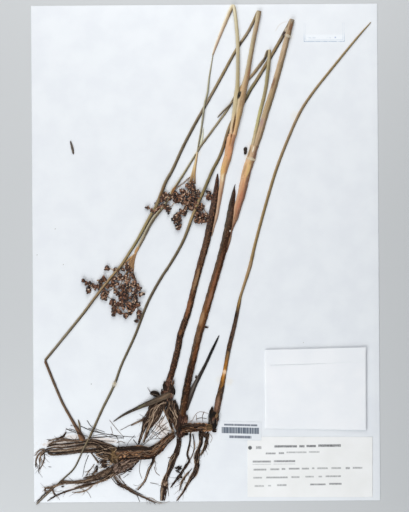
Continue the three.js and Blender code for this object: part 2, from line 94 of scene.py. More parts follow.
def brighter(tone, gain, rich):
    """A stem's tone, brighter and richer, because a round or rough surface shows darker and greyer."""
    parts = linear(tone)[:3]
    grey = sum(parts) / 3
    return [min(1.0, gain * max(0.0, grey + rich * (part - grey))) for part in parts] + [1.0]


class Shade:
    """A socket that gives a value. Arithmetic on it adds Math nodes."""

    def __init__(self, finish, socket):
        self.finish = finish
        self.socket = socket

    def __add__(self, other):
        return self.finish.math("ADD", self, other)

    def __radd__(self, other):
        return self.finish.math("ADD", other, self)

    def __sub__(self, other):
        return self.finish.math("SUBTRACT", self, other)

    def __rsub__(self, other):
        return self.finish.math("SUBTRACT", other, self)

    def __mul__(self, other):
        return self.finish.math("MULTIPLY", self, other)

    def __rmul__(self, other):
        return self.finish.math("MULTIPLY", other, self)

    def __truediv__(self, other):
        return self.finish.math("DIVIDE", self, other)

    def __abs__(self):
        return self.finish.math("ABSOLUTE", self)


class Finish:
    """One material in the making."""

    def __init__(self, name):
        self.material = bpy.data.materials.new(name)
        self.material.use_nodes = True
        self.tree = self.material.node_tree
        self.tree.nodes.clear()

    def node(self, kind, settings=None, inputs=None, output=0):
        """Any node: its settings are set first, then its sockets, by name or by number."""
        made = self.tree.nodes.new(kind)
        for key, value in (settings or {}).items():
            if key == "stops":
                self.set_stops(made.color_ramp, value)
            else:
                setattr(made, key, value)
        for key, value in (inputs or {}).items():
            if isinstance(value, Shade):
                self.tree.links.new(value.socket, made.inputs[key])
            else:
                made.inputs[key].default_value = value
        return Shade(self, made.outputs[output]) if made.outputs else None

    def set_stops(self, ramp, stops):
        """Gives a colour ramp its stops, each a place from 0 to 1 and a tone."""
        while len(ramp.elements) < len(stops):
            ramp.elements.new(1.0)
        for element, (spot, tone) in zip(ramp.elements, stops):
            element.position = spot
            element.color = linear(tone)

    def math(self, operation, first, second=0.0):
        return self.node("ShaderNodeMath", {"operation": operation}, {0: first, 1: second})

    def smooth(self, value, start, end, low=0.0, high=1.0):
        """A soft step from low to high as the value goes from start to end."""
        settings = {"interpolation_type": "SMOOTHSTEP"}
        return self.node("ShaderNodeMapRange", settings, {0: value, 1: start, 2: end, 3: low, 4: high})

    def vector(self, x, y, z=0.0):
        return self.node("ShaderNodeCombineXYZ", None, {0: x, 1: y, 2: z})

    def mix(self, factor, first, second):
        """The first colour, turned into the second as the factor goes from 0 to 1."""
        settings = {"data_type": "RGBA", "clamp_factor": True}
        colours = [c if isinstance(c, Shade) else linear(c) for c in (first, second)]
        return self.node("ShaderNodeMix", settings, {0: factor, 6: colours[0], 7: colours[1]}, output=2)

    def ramp(self, value, stops):
        return self.node("ShaderNodeValToRGB", {"stops": stops}, {0: value})

    def noise(self, vector, scale, detail, roughness=0.5):
        inputs = {"Vector": vector, "Scale": scale, "Detail": detail, "Roughness": roughness}
        return self.node("ShaderNodeTexNoise", None, inputs)

    def own(self, strand, salt=0.0):
        """A number from 0 to 1 that differs from strand to strand."""
        whole = self.math("FLOOR", strand * 41.0) + salt
        return self.node("ShaderNodeTexWhiteNoise", {"noise_dimensions": "1D"}, {"W": whole})

    def grain(self):
        """Across the piece from left to right (-1 to 1), along it in mm, and each strand's own number."""
        spot = self.node("ShaderNodeAttribute", {"attribute_name": "grain"}, None, output=1)
        return [self.node("ShaderNodeSeparateXYZ", None, {0: spot}, output=i) for i in range(3)]

    def place(self):
        """The place on the sheet, in mm."""
        spot = self.node("ShaderNodeTexCoord", None, None, output=3)
        return [self.node("ShaderNodeSeparateXYZ", None, {0: spot}, output=i) / MM for i in range(3)]

    def bump(self, height, distance, strength):
        """Fine relief, its depth in mm."""
        inputs = {"Strength": strength, "Distance": distance * MM, "Height": height}
        return self.node("ShaderNodeBump", None, inputs)

    def surface(self, colour, roughness, normal=None, **constants):
        """Ends the material. The constants are the shader's own sockets, with _ for each space."""
        inputs = {"Base Color": colour, "Roughness": roughness}
        if normal is not None:
            inputs["Normal"] = normal
        inputs.update({key.replace("_", " "): value for key, value in constants.items()})
        shader = self.node("ShaderNodeBsdfPrincipled", None, inputs)
        self.node("ShaderNodeOutputMaterial", None, {"Surface": shader})
        return self.material


def paper_finish(name, tone, shaded, drawn=None):
    """Uncoated paper: faint mottling, fine fibres in its relief, and what is drawn on it."""
    paint = Finish(name)
    x, y, z = paint.place()
    spot = paint.vector(x, y, z)
    mottle = paint.noise(spot, 0.045, 3.0)
    fibre = paint.noise(spot, 1.7, 4.0, 0.65)
    pulp = paint.noise(paint.vector(x * 0.8, y * 2.6, z), 1.1, 2.0)
    colour = paint.mix(paint.smooth(mottle, 0.3, 0.7), tone, shaded)
    colour = paint.mix(paint.smooth(pulp, 0.62, 0.8) * 0.25, colour, shaded)
    if drawn:
        colour = drawn(paint, colour, x, y)
    relief = paint.bump(fibre + 0.6 * pulp, 0.03, 0.35)
    return paint.surface(colour, 0.82 + 0.1 * fibre, relief, Specular_IOR_Level=0.25)


def inside(paint, x, y, box, blur):
    """A mask of a box (left, low, right, high) with soft edges."""
    left, low, right, high = box
    wide = paint.smooth(x, left - blur, left + blur) * paint.smooth(x, right - blur, right + blur, 1.0, 0.0)
    tall = paint.smooth(y, low - blur, low + blur) * paint.smooth(y, high - blur, high + blur, 1.0, 0.0)
    return wide * tall


STAMP = (84.0, 177.6, 118.4, 193.8)
STAMP_LINE = 0.5
SMEARS = [(38.5, 82, 7.5), (40, 90, 6), (-77.5, -110, 5), (15, 64, 4), (77, 115, 6), (-6.5, 84.5, 4.5),
          (70, 183, 7), (11, -107, 4.5), (19.4, -108.6, 4.5)]
ARC = (70.6, 184.2, 10.6)                      # a dried edge of paste: middle and radius
# Thin pale film between the roots: soft spots
FILMS = [(-38.5, -146, 13, 6, 118, 0.55), (-111, -155.5, 9, 3.2, -12, 0.45), (-88, -157.4, 14, 3, -6, 0.6),
         (-116, -161.4, 24, 3.8, -3, 0.75), (-106, -196, 14, 3, 12, 0.4), (-76, -188, 5, 3, -40, 0.4)]


def sheet_marks(paint, colour, x, y):
    """An empty stamped frame, worn off at its top, halos of dried paste beside the stems, and pale film."""
    left, low, right, high = STAMP
    worn = paint.noise(paint.vector(x, y), 0.35, 2.0)
    rough = paint.noise(paint.vector(x, y), 0.5, 3.0)
    colour = paint.mix(inside(paint, x, y, (left, low, right, low + 6), 1.2) * 0.6, colour, "#f7fbff")
    for inset, depth in ((0.0, 0.85), (1.3, 0.4)):
        outer = inside(paint, x, y, (left + inset, low + inset, right - inset, high), 0.25)
        rim = inset + STAMP_LINE
        inner = inside(paint, x, y, (left + rim, low + rim, right - rim, high + 4), 0.25)
        fade = paint.smooth(y, low + 1, low + 9, depth, 0.12)
        colour = paint.mix((outer - inner) * paint.smooth(worn, 0.25, 0.5) * fade, colour, "#8fa6bf")
    words = inside(paint, x, y, (87, low + 2.8, 107, low + 4), 0.3) * paint.smooth(worn, 0.45, 0.6)
    colour = paint.mix(words * 0.3, colour, "#9db0c6")
    colour = paint.mix(inside(paint, x, y, (110, low + 3, 111.2, low + 4.2), 0.4) * 0.7, colour, "#8ba0cc")
    for spot_x, spot_y, radius in SMEARS:
        across, up = x - spot_x, y - spot_y
        reach = paint.math("SQRT", across * across + up * up) + 2.2 * worn
        colour = paint.mix(paint.smooth(reach, radius * 0.45, radius + 1.4, 0.3, 0.0), colour, "#e9dfcc")
    across, up = x - ARC[0], y - ARC[1]
    ring = abs(paint.math("SQRT", across * across + up * up) - ARC[2] + 1.2 * (worn - 0.5))
    ring = paint.smooth(ring, 0.9, 0.1) * paint.smooth(up - across, 9.5, 13.0) * paint.smooth(up, 1.5, 4.0)
    colour = paint.mix(ring * 0.25, colour, "#c9b9a4")
    for film in FILMS:
        colour = paint.mix(soft_spot(paint, x, y, film, 1.6 * (rough - 0.5)), colour, "#dac8ba")
    return colour


# The label's words are plain bars: height above the sheet's middle, left end, right end, bar height and depth
LABEL_ROWS = [
    (-163.5, 57, 76, 1.9, 0.85), (-163.5, 78, 82.4, 1.9, 0.85), (-163.4, 84, 92, 1.9, 0.85),
    (-163.1, 94, 113, 2.1, 0.9), (-169.4, 49.6, 58, 1.4, 0.7), (-169.2, 60.6, 65, 1.5, 0.7),
    (-168.6, 67, 84, 1.3, 0.5), (-168.4, 86, 95, 1.2, 0.5), (-176.2, 38.6, 54, 1.6, 0.7),
    (-176, 56.4, 74.4, 1.6, 0.75), (-178.5, 38.4, 54, 0.4, 0.55), (-178.4, 56, 74.4, 0.4, 0.55),
    (-183, 39.2, 50, 1.5, 0.65), (-182.8, 53.4, 61, 1.4, 0.65), (-182.6, 63, 66, 1.4, 0.7),
    (-182.4, 69, 78, 1.4, 0.7), (-182.4, 80, 86, 1.4, 0.65), (-182.2, 88.6, 90.6, 1.4, 0.6),
    (-182.2, 93, 102, 1.4, 0.55), (-182.1, 105, 113, 1.4, 0.6), (-182.2, 117, 120.6, 1.7, 0.7),
    (-182, 123, 131, 1.4, 0.65), (-189.8, 39, 46.4, 1.3, 0.6), (-189.7, 50, 68, 1.4, 0.65),
    (-189.5, 71, 78, 1.4, 0.6), (-189.2, 83, 90, 1.3, 0.6), (-189.2, 94, 97, 1.3, 0.5),
    (-189, 100, 113, 1.3, 0.65), (-196.8, 40, 48, 1.4, 0.55), (-196.6, 51.4, 54, 1.2, 0.5),
    (-196.2, 59, 67, 1.5, 0.6), (-195.8, 87, 100, 1.4, 0.75), (-195.4, 103, 113.4, 1.5, 0.8),
    (-164.4, 41.4, 46, 2.4, 0.6),
]
LABEL_DOT = (36.4, -164.5)


def label_marks(paint, colour, x, y):
    """Rows of plain grey bars where a label has its words, and one round dot."""
    strokes = paint.noise(paint.vector(x * 1.3, y * 0.4), 1.0, 1.0)
    uneven = paint.smooth(strokes, 0.3, 0.6, 0.6, 1.0)
    for middle, left, right, tall, depth in LABEL_ROWS:
        word = inside(paint, x, y, (left, middle - tall / 2, right, middle + tall / 2), 0.3)
        colour = paint.mix(word * uneven * depth, colour, "#55575b")
    across, up = x - LABEL_DOT[0], y - LABEL_DOT[1]
    dot = paint.smooth(paint.math("SQRT", across * across + up * up), 1.9, 1.3)
    return paint.mix(dot * 0.9, colour, "#3c4044")


def slip_marks(paint, colour, x, y):
    """A row of plain upright bars that stand for no number, with a plain bar above and one below."""
    slant = y + 0.03 * x
    row = inside(paint, x, slant, (12.6, -151.6, 44.0, -146.4), 0.2)
    bars = paint.smooth(paint.noise(paint.vector(x * 1.15, 3.0), 1.0, 1.0), 0.42, 0.5, 0.55, 1.0)
    colour = paint.mix(row * bars, colour, "#66707d")
    words = paint.smooth(paint.noise(paint.vector(x * 0.8, 8.0), 1.0, 1.0), 0.3, 0.5, 0.4, 0.9)
    above = inside(paint, x, slant, (14.6, -145.2, 42.6, -143.6), 0.3)
    below = inside(paint, x, slant, (19.0, -155.6, 37.6, -153.4), 0.3)
    return paint.mix((above + below) * words * 0.9, colour, "#3f4a5e")


def soft_spot(paint, x, y, mark, blur):
    """A mask of a long soft spot, given by its middle, half length, half width, tilt in degrees and depth."""
    spot_x, spot_y, length, width, tilt, depth = mark
    turn = math.radians(tilt)
    across, up = x - spot_x, y - spot_y
    along = (across * math.cos(turn) + up * math.sin(turn)) / length
    aside = (up * math.cos(turn) - across * math.sin(turn)) / width
    reach = paint.math("SQRT", along * along + aside * aside) + blur
    return paint.smooth(reach, 0.55, 1.15, depth, 0.0)


def stem_finish(name, bands, edge=("umber", 0.8), rim=("cream", 0.5), streak=("umber", 0.55),
                light=("cream", 0.35), gain=1.18, rich=1.0, shine=0.3, grit=0.3, marks=()):
    """Dried rush skin: bands of tone, long streaks, painted shade at the right edge, a rim tone at the left
    (mostly a painted highlight) and fine ribs.

    The bands are (height on the sheet, tone), from the lowest to the highest. The edge, rim, streaks and
    light lines each have a tone and a depth. Each mark is a tone and its soft spot.
    """
    (edge, painted_shade_depth), (rim, rim_depth) = edge, rim
    (streak, streak_depth), (light, light_depth) = streak, light
    paint = Finish(name)
    across, along, strand = paint.grain()
    x, up, _ = paint.place()
    low, high = bands[0][0], bands[-1][0]
    stops = [((height - low) / (high - low), brighter(tone, gain, rich)) for height, tone in bands]
    waver = paint.noise(paint.vector(across * 0.8, along * 0.14, strand * 3.7), 1.0, 2.0)
    colour = paint.ramp((up - low + 6.0 * (waver - 0.5)) / (high - low), stops)
    blotch = paint.noise(paint.vector(across * 1.2, along * 0.13, strand * 4.1 + 5.0), 1.0, 3.0, 0.6)
    streaks = paint.noise(paint.vector(across * 3.0, along * 0.05, strand * 5.1 + 2.0), 1.0, 3.0, 0.6)
    lines = paint.noise(paint.vector(across * 7.5, along * 0.1, strand * 2.3 + 9.0), 1.0, 2.0)
    flecks = paint.noise(paint.vector(across * 2.2, along * 0.7, strand), 1.3, 2.0)
    colour = paint.mix(paint.smooth(blotch, 0.5, 0.66) * streak_depth * 0.7, colour, streak)
    colour = paint.mix(paint.smooth(streaks, 0.48, 0.66) * streak_depth, colour, streak)
    colour = paint.mix(paint.smooth(lines, 0.53, 0.7) * light_depth, colour, light)
    # Painted highlight: the left rim turns to the rim tone, which is pale on most stems, as if lit on its
    # rounded side.
    west = paint.smooth(across + 0.4 * (lines - 0.5), -0.1, -0.75) * rim_depth
    colour = paint.mix(west, colour, rim)
    # Painted shade: the right side turns to the dark edge tone, as the shaded side of a stem lit from the
    # left.
    east = paint.smooth(across + 0.5 * (streaks - 0.5), -0.05, 0.6) * painted_shade_depth
    colour = paint.mix(east, colour, edge)
    for tone, *mark in marks:
        colour = paint.mix(soft_spot(paint, x, up, mark, 0.9 * (blotch - 0.5)), colour, tone)
    scurf = paint.noise(paint.vector(across * 2.2, along * 0.5, strand + 3.0), 1.3, 3.0, 0.7)
    colour = paint.mix(paint.smooth(scurf, 0.52, 0.64) * 0.7 * grit, colour, light)
    colour = paint.mix(paint.smooth(flecks, 0.7 - 0.14 * grit, 0.78 - 0.14 * grit) * 0.7, colour, edge)
    relief = paint.bump(0.7 * lines + 0.5 * streaks + 0.25 * flecks, 0.14, 0.7)
    return paint.surface(colour, 0.5 + 0.2 * lines, relief, Specular_IOR_Level=shine)


def mottled_finish(name, dark, middle, light, gloss=0.6, grit=1.0):
    """Scaly or fibrous stuff: three tones by strand, by lengthwise lines and by grit."""
    paint = Finish(name)
    across, along, strand = paint.grain()
    lines = paint.noise(paint.vector(across * 3.5, along * 0.2, strand * 4.3), 1.0, 3.0, 0.6)
    dirt = paint.noise(paint.vector(across * 1.4, along * 0.5, strand * 1.7), 1.6 * grit, 3.0, 0.65)
    value = lines + 0.5 * (paint.own(strand) - 0.5)
    colour = paint.ramp(value, [(0.28, dark), (0.5, middle), (0.72, light)])
    colour = paint.mix(paint.smooth(dirt, 0.48, 0.62) * 0.85, colour, dark)
    relief = paint.bump(lines + dirt, 0.25, 0.8)
    return paint.surface(colour, gloss + 0.25 * dirt, relief, Specular_IOR_Level=0.2)


def capsule_finish():
    """A ripe capsule: near black to red-brown, a little glossy."""
    paint = Finish("ripe_capsule")
    across, along, strand = paint.grain()
    blotch = paint.noise(paint.vector(across * 1.5, along * 1.2, strand * 6.1), 1.0, 2.0)
    value = blotch + 0.6 * (paint.own(strand) - 0.5)
    colour = paint.ramp(value, [(0.3, "#160c08"), (0.52, "#2b170f"), (0.68, "#54301f"), (0.82, "#8a5a40")])
    return paint.surface(colour, 0.36 + 0.2 * blotch, None, Specular_IOR_Level=0.5)


def husk_finish():
    """The papery husks around a capsule: brown to pinkish straw."""
    paint = Finish("papery_husk")
    across, along, strand = paint.grain()
    vein = paint.smooth(abs(across), 0.15, 0.6)
    tones = [(0.0, "#1f110b"), (0.3, "#452a1c"), (0.5, "#84583f"), (0.75, "#bd9274"), (1.0, "#e6cdb5")]
    colour = paint.ramp(paint.own(strand, 3.0), tones)
    colour = paint.mix((1 - vein) * 0.3, colour, "rust")
    colour = paint.mix(paint.smooth(along, 1.2, 2.6, 0.0, 0.45), colour, "umber")
    return paint.surface(colour, 0.6, None, Specular_IOR_Level=0.3)


def glue_finish():
    """Dried paste: warm and pale, smooth with small pits, and nearly clear towards its rim."""
    paint = Finish("dried_paste")
    x, y, z = paint.place()
    pits = paint.noise(paint.vector(x, y, z), 1.1, 2.0)
    colour = paint.mix(paint.smooth(pits, 0.35, 0.7), "#fbf3df", "#d8c59c")
    relief = paint.bump(pits, 0.12, 0.4)
    clear = paint.smooth(z + 1.6 * (pits - 0.5), FACE + 0.4, FACE + 2.4, 0.05, 0.5)
    return paint.surface(colour, 0.42 + 0.2 * pits, relief, Specular_IOR_Level=0.35, Alpha=clear)


def floor_finish():
    """A plain pale studio floor."""
    paint = Finish("studio_floor")
    x, y, _ = paint.place()
    cloud = paint.noise(paint.vector(x, y), 0.004, 2.0)
    return paint.surface(paint.mix(cloud, "#c9cbcc", "#cfd1d2"), 0.9)


# Forms
def draws(group, number=0):
    """A group's own random draws, the same on every run."""
    return np.random.default_rng(SEEDS[group] + number)


def own_number(rng):
    """A strand's own number, by which its skin differs from its neighbours'."""
    return rng.uniform(0, 9)


def grain_along(points, across, run, number):
    """The grain of rings of points: how far across and along each is, and the strand's number."""
    grain = np.empty_like(points)
    grain[..., 0] = across
    grain[..., 1] = run[:, None]
    grain[..., 2] = number
    return grain


def wander(run, reach, hump, rng):
    """A smooth aimless wave along a run, with humps about as long as given."""
    phases = rng.uniform(0, TAU, 3)
    waves = [np.sin(TAU * run / (hump * share) + phase) for share, phase in zip((1, 0.62, 0.37), phases)]
    return reach * (0.5 * waves[0] + 0.3 * waves[1] + 0.2 * waves[2])


class Course:
    """A smooth route through rows of x, y, width and lift, in steps of about the length given."""

    def __init__(self, rows, step):
        full = np.array([[*row, GAP] if len(row) == 3 else row for row in rows], float)
        ends = [2 * full[0] - full[1], *full, 2 * full[-1] - full[-2]]
        spans = [self.span(*ends[i:i + 4], step) for i in range(len(full) - 1)]
        table = np.vstack([*spans, full[-1:]])
        self.place = table[:, :2]
        self.width = np.maximum(table[:, 2], 0.2)
        self.low = FACE + REST + np.maximum(table[:, 3] - GAP, 0) * SETTLE
        ahead = np.gradient(self.place, axis=0)
        lengths = np.hypot(*ahead.T)
        self.along = ahead / lengths[:, None]
        self.side = np.stack([-self.along[:, 1], self.along[:, 0]], axis=1)
        self.run = np.concatenate([[0], np.cumsum(np.hypot(*np.diff(self.place, axis=0).T))])
        self.count = len(table)

    def rise_over(self, below):
        """Lifts the route where it crosses other stems."""
        for other in below:
            apart, width, top = other.seen_from(self.place)
            share = 1 / (1 + np.exp(np.clip((apart - 0.6 * width - 0.9) / 0.5, -20, 20)))
            self.low = np.maximum(self.low, self.low + (top - self.low) * share)

    def seen_from(self, place):
        """How far this stem is from each place, and its width and its top's height at its nearest point."""
        apart = np.hypot(*(place[:, None] - self.place[None]).transpose(2, 0, 1))
        nearest = np.argmin(apart, axis=1)
        width = self.width[nearest]
        return apart.min(axis=1), width, self.low[nearest] + SKIN + PRESS["stem"] * width

    @staticmethod
    def span(before, start, end, after, step):
        """One stretch of a centripetal curve."""
        pairs = ((before, start), (start, end), (end, after))
        gaps = [max(np.hypot(*(b - a)[:2]), 1e-6) ** 0.5 for a, b in pairs]
        leave = (start - before) / gaps[0] - (end - before) / (gaps[0] + gaps[1]) + (end - start) / gaps[1]
        arrive = (end - start) / gaps[1] - (after - start) / (gaps[1] + gaps[2]) + (after - end) / gaps[2]
        leave, arrive = leave * gaps[1], arrive * gaps[1]
        count = max(2, round(gaps[1] ** 2 / step))
        t = np.linspace(0, 1, count, endpoint=False)[:, None]
        return ((2 * t ** 3 - 3 * t ** 2 + 1) * start + (t ** 3 - 2 * t ** 2 + t) * leave
                + (3 * t ** 2 - 2 * t ** 3) * end + (t ** 3 - t ** 2) * arrive)


class Body:
    """The points and faces of one piece."""

    def __init__(self):
        self.points = []
        self.grains = []
        self.faces = []
        self.kinds = []
        self.count = 0

    def rings(self, points, grain, kind=0):
        """Rings of points joined one to the next, with both ends closed."""
        rings, sides, _ = points.shape
        index = self.count + np.arange(rings * sides).reshape(rings, sides)
        beside = np.roll(index, -1, axis=1)
        quads = np.stack([index[:-1], beside[:-1], beside[1:], index[1:]], axis=-1).reshape(-1, 4)
        faces = [*quads.tolist(), index[0, ::-1].tolist(), index[-1].tolist()]
        self.take(points, grain, faces, kind)

    def slab(self, upper, lower, grain):
        """Two nets of points, one over the other, closed all around."""
        rows, columns, _ = upper.shape
        top = self.count + np.arange(rows * columns).reshape(rows, columns)
        under = top + rows * columns
        faces = []
        for corners in ([top[:-1, :-1], top[:-1, 1:], top[1:, 1:], top[1:, :-1]],
                        [under[:-1, :-1], under[1:, :-1], under[1:, 1:], under[:-1, 1:]]):
            faces += np.stack(corners, axis=-1).reshape(-1, 4).tolist()
        rim = [*top[0], *top[1:, -1], *top[-1, -2::-1], *top[-2:0:-1, 0]]
        for here, ahead in zip(rim, rim[1:] + rim[:1]):
            faces.append([here, here + rows * columns, ahead + rows * columns, ahead])
        self.take(np.stack([upper, lower]), np.stack([grain, grain]), [[int(i) for i in f] for f in faces], 0)

    def take(self, points, grain, faces, kind):
        self.points.append(points.reshape(-1, 3))
        self.grains.append(np.broadcast_to(grain, points.shape).reshape(-1, 3))
        self.faces += faces
        self.kinds += [kind] * len(faces)
        self.count += points.size // 3

    def piece(self, name, finishes, slot, *nodes):
        """Makes the mesh, which takes the place of the named nodes."""
        mesh = bpy.data.meshes.new(name)
        points = np.concatenate(self.points)
        points[:, 0] = np.clip(points[:, 0], LEFT, RIGHT)
        points[:, 1] = np.clip(points[:, 1], LOW, HIGH)
        points[:, 2] = np.clip(points[:, 2], 0, TOP)
        mesh.from_pydata((points * MM).tolist(), [], self.faces)
        for finish in finishes:
            mesh.materials.append(finish)
        mesh.polygons.foreach_set("material_index", self.kinds)
        mesh.polygons.foreach_set("use_smooth", [True] * len(self.faces))
        grain = mesh.attributes.new("grain", "FLOAT_VECTOR", "POINT")
        grain.data.foreach_set("vector", np.concatenate(self.grains).ravel())
        mesh.update()
        made = bpy.data.objects.new(name, mesh)
        bpy.context.scene.collection.objects.link(made)
        if nodes:
            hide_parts(*nodes)
        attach(made, "root")


def lengthened(rows, reach):
    """The rows with their first and last ends moved outwards, so that a piece runs on under its neighbour."""
    rows = [tuple(row) for row in rows]
    if reach[0]:
        rows = [beyond(rows[0], rows[1], reach[0])] + rows
    if reach[1]:
        rows = rows + [beyond(rows[-1], rows[-2], reach[1])]
    return rows


def beyond(end, inner, reach):
    """A row past an end, in line with the row before it."""
    length = math.hypot(end[0] - inner[0], end[1] - inner[1])
    share = reach / length
    return (end[0] + (end[0] - inner[0]) * share, end[1] + (end[1] - inner[1]) * share, *end[2:])


# How far from its end a stem starts to narrow, as a share of its width
ROUNDING = {"round": 0.5, "blunt": 0.1}


def stem(body, rows, rng, press="stem", sides=18, step=0.9, ribs=3.0, rib=0.07, furrow=0.22, ragged=0.05,
         lap=None, kind=0, strand=0.0, reach=(0, 0), ends=("round", "round"), over=()):
    """A pressed stem: a flattened tube with ribs and a wandering furrow, and a lapped margin on a sheath."""
    course = Course(lengthened(rows, reach), step)
    course.rise_over(over)
    turn = np.arange(sides) * TAU / sides
    across = np.sign(np.cos(turn)) * np.abs(np.cos(turn)) ** 0.85
    rise = np.where(np.sin(turn) > 0, np.abs(np.sin(turn)) ** 0.8, -np.abs(np.sin(turn)) ** 0.4)
    width = course.width * (1 + wander(course.run, ragged, 9, rng))
    from_start = course.run / (ROUNDING[ends[0]] * width)
    from_end = (course.run[-1] - course.run) / (ROUNDING[ends[1]] * width)
    round_end = np.clip(np.minimum(from_start, from_end), 0.02, 1)
    taper = np.sqrt(1 - (1 - round_end) ** 2)
    half = 0.5 * width * taper
    thick = (SKIN + PRESS[press] * course.width) * (0.35 + 0.65 * taper)
    middle = wander(course.run, 0.35, 60, rng)[:, None]
    phase = wander(course.run, 1.2, 45, rng)[:, None]
    relief = rib * (0.5 - 0.5 * np.cos(ribs * math.pi * across[None] + phase))
    relief = relief + furrow * thick[:, None] * np.exp(-((across[None] - middle) / 0.24) ** 2)
    if lap is not None:
        edge = lap + wander(course.run, 0.15, 50, rng)[:, None]
        relief = relief + 0.14 * thick[:, None] / (1 + np.exp(-(across[None] - edge) / 0.03))
    relief = relief * np.clip(rise, 0, 1)[None]
    points = np.empty((course.count, sides, 3))
    points[..., :2] = course.place[:, None] + course.side[:, None] * (half[:, None] * across[None])[..., None]
    points[..., 2] = course.low[:, None] + thick[:, None] * (0.5 + 0.5 * rise[None]) - relief * taper[:, None]
    east = np.sign(course.side[:, 0].sum()) or 1.0
    body.rings(points, grain_along(points, east * across[None], course.run, strand), kind)


def strand(body, route, radius, sides, kind, number, flat=1.0):
    """A thin tube along points in space, flattened where asked."""
    ahead = np.gradient(route, axis=0)
    ahead /= np.maximum(np.linalg.norm(ahead, axis=1, keepdims=True), 1e-9)
    side = np.cross([0.0, 0.0, 1.0], ahead)
    side /= np.maximum(np.linalg.norm(side, axis=1, keepdims=True), 1e-6)
    upward = np.cross(ahead, side)
    turn = np.arange(sides) * TAU / sides
    radius = np.broadcast_to(radius, len(route))
    reach = radius[:, None, None]
    points = (route[:, None] + side[:, None] * (np.cos(turn)[None, :, None] * reach)
              + upward[:, None] * (np.sin(turn)[None, :, None] * reach * flat))
    run = np.concatenate([[0], np.cumsum(np.linalg.norm(np.diff(route, axis=0), axis=1))])
    body.rings(points, grain_along(points, np.cos(turn)[None], run, number), kind)


def sheet_patch(body, corners, us, vs, upper, lower):
    """A thin sheet between four corners, lower left first and turning left, with the given two faces."""
    a, b, c, d = (np.array(corner, float) for corner in corners)
    u, v = np.meshgrid(us, vs)
    flat = ((1 - u) * (1 - v))[..., None] * a + (u * (1 - v))[..., None] * b
    flat = flat + (u * v)[..., None] * c + ((1 - u) * v)[..., None] * d
    top = np.concatenate([flat, upper(u, v)[..., None]], axis=-1)
    under = np.concatenate([flat, lower(u, v)[..., None]], axis=-1)
    grain = np.stack([u, v, np.zeros_like(u)], axis=-1)
    body.slab(top, under, grain)


def edged(count, rim):
    """Shares from 0 to 1, close together at both ends."""
    inner = np.linspace(0, 1, count)[1:-1]
    return np.concatenate([[0, rim * 0.35, rim], inner, [1 - rim, 1 - rim * 0.35, 1]])


def rim_drop(u, v, rim, depth):
    """How far the face falls off at the edges."""
    near = np.minimum(np.minimum(u, 1 - u), np.minimum(v, 1 - v))
    return depth * (1 - np.clip(near / rim, 0, 1)) ** 2


# Papers
def mounting_sheet():
    """The white board, very slightly waved, with soft edges."""
    low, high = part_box("mounting_sheet")
    left, front, right, back = low.x / MM, low.y / MM, high.x / MM, high.y / MM
    corners = [(left, front), (right, front), (right, back), (left, back)]
    rim = 0.0018

    def upper(u, v):
        wave = 0.02 * np.sin(TAU * (0.9 * u + 0.6 * v)) + 0.015 * np.sin(TAU * (1.7 * v - 0.5 * u) + 1)
        return FACE - 0.04 + wave - rim_drop(u, v, rim, 0.12)

    def lower(u, v):
        return rim_drop(u, v, rim, 0.1)

    body = Body()
    sheet_patch(body, corners, edged(44, rim), edged(62, rim), upper, lower)
    body.piece("mounting_board", [paper_finish("mounting_paper", "#eff2f5", "#eaedf1", sheet_marks)],
               "white_paper", "mounting_sheet")


LABEL_CORNERS = [(34, -206), (139.5, -206.8), (139.8, -156), (34.3, -155.2)]


def specimen_label():
    """The label, whose right and left edges lift a little."""

    def upper(u, v):
        return lower(u, v) + 0.16 - rim_drop(u, v, 0.004, 0.04)

    def lower(u, v):
        right_lift = 0.22 * (np.clip(u - 0.9, 0, 1) * 10) ** 2 * (0.4 + 0.6 * v)
        left_lift = 0.12 * (np.clip(0.06 - u, 0, 1) * 16) ** 2
        return FACE + 0.02 + right_lift + left_lift

    body = Body()
    sheet_patch(body, LABEL_CORNERS, edged(36, 0.004), edged(20, 0.008), upper, lower)
    body.piece("label_paper", [paper_finish("label_stock", "#f8f8f7", "#f3f3f1", label_marks)],
               "warm_paper", "specimen_label")


SLIP_CORNERS = [(10.4, -157.4), (46, -158.4), (46.2, -142.8), (10.6, -141.8)]


def barcode_slip():
    """The small slip, its lower right part resting on the label's edge."""

    def upper(u, v):
        return lower(u, v) + 0.14 - rim_drop(u, v, 0.01, 0.03)

    def lower(u, v):
        return FACE + 0.02 + 0.3 * np.clip((u - 0.45) * 5, 0, 1) * np.clip((0.5 - v) * 3, 0, 1)

    body = Body()
    sheet_patch(body, SLIP_CORNERS, edged(16, 0.01), edged(8, 0.02), upper, lower)
    body.piece("slip_paper", [paper_finish("slip_stock", "#eef1f4", "#e7ebf0", slip_marks)],
               "white_paper", "barcode_slip")


# The packet, in mm: its sides, how much further the right one reaches, its thickness, its rises and its flap
PACKET = {"left": 49.2, "right": 134.8, "low": -148.5, "high": -82.0, "skew": 1.7, "thick": 1.2,
          "right_rise": 1.1, "top_rise": 0.5, "flap": 12.5, "flap_inset": 5.0}


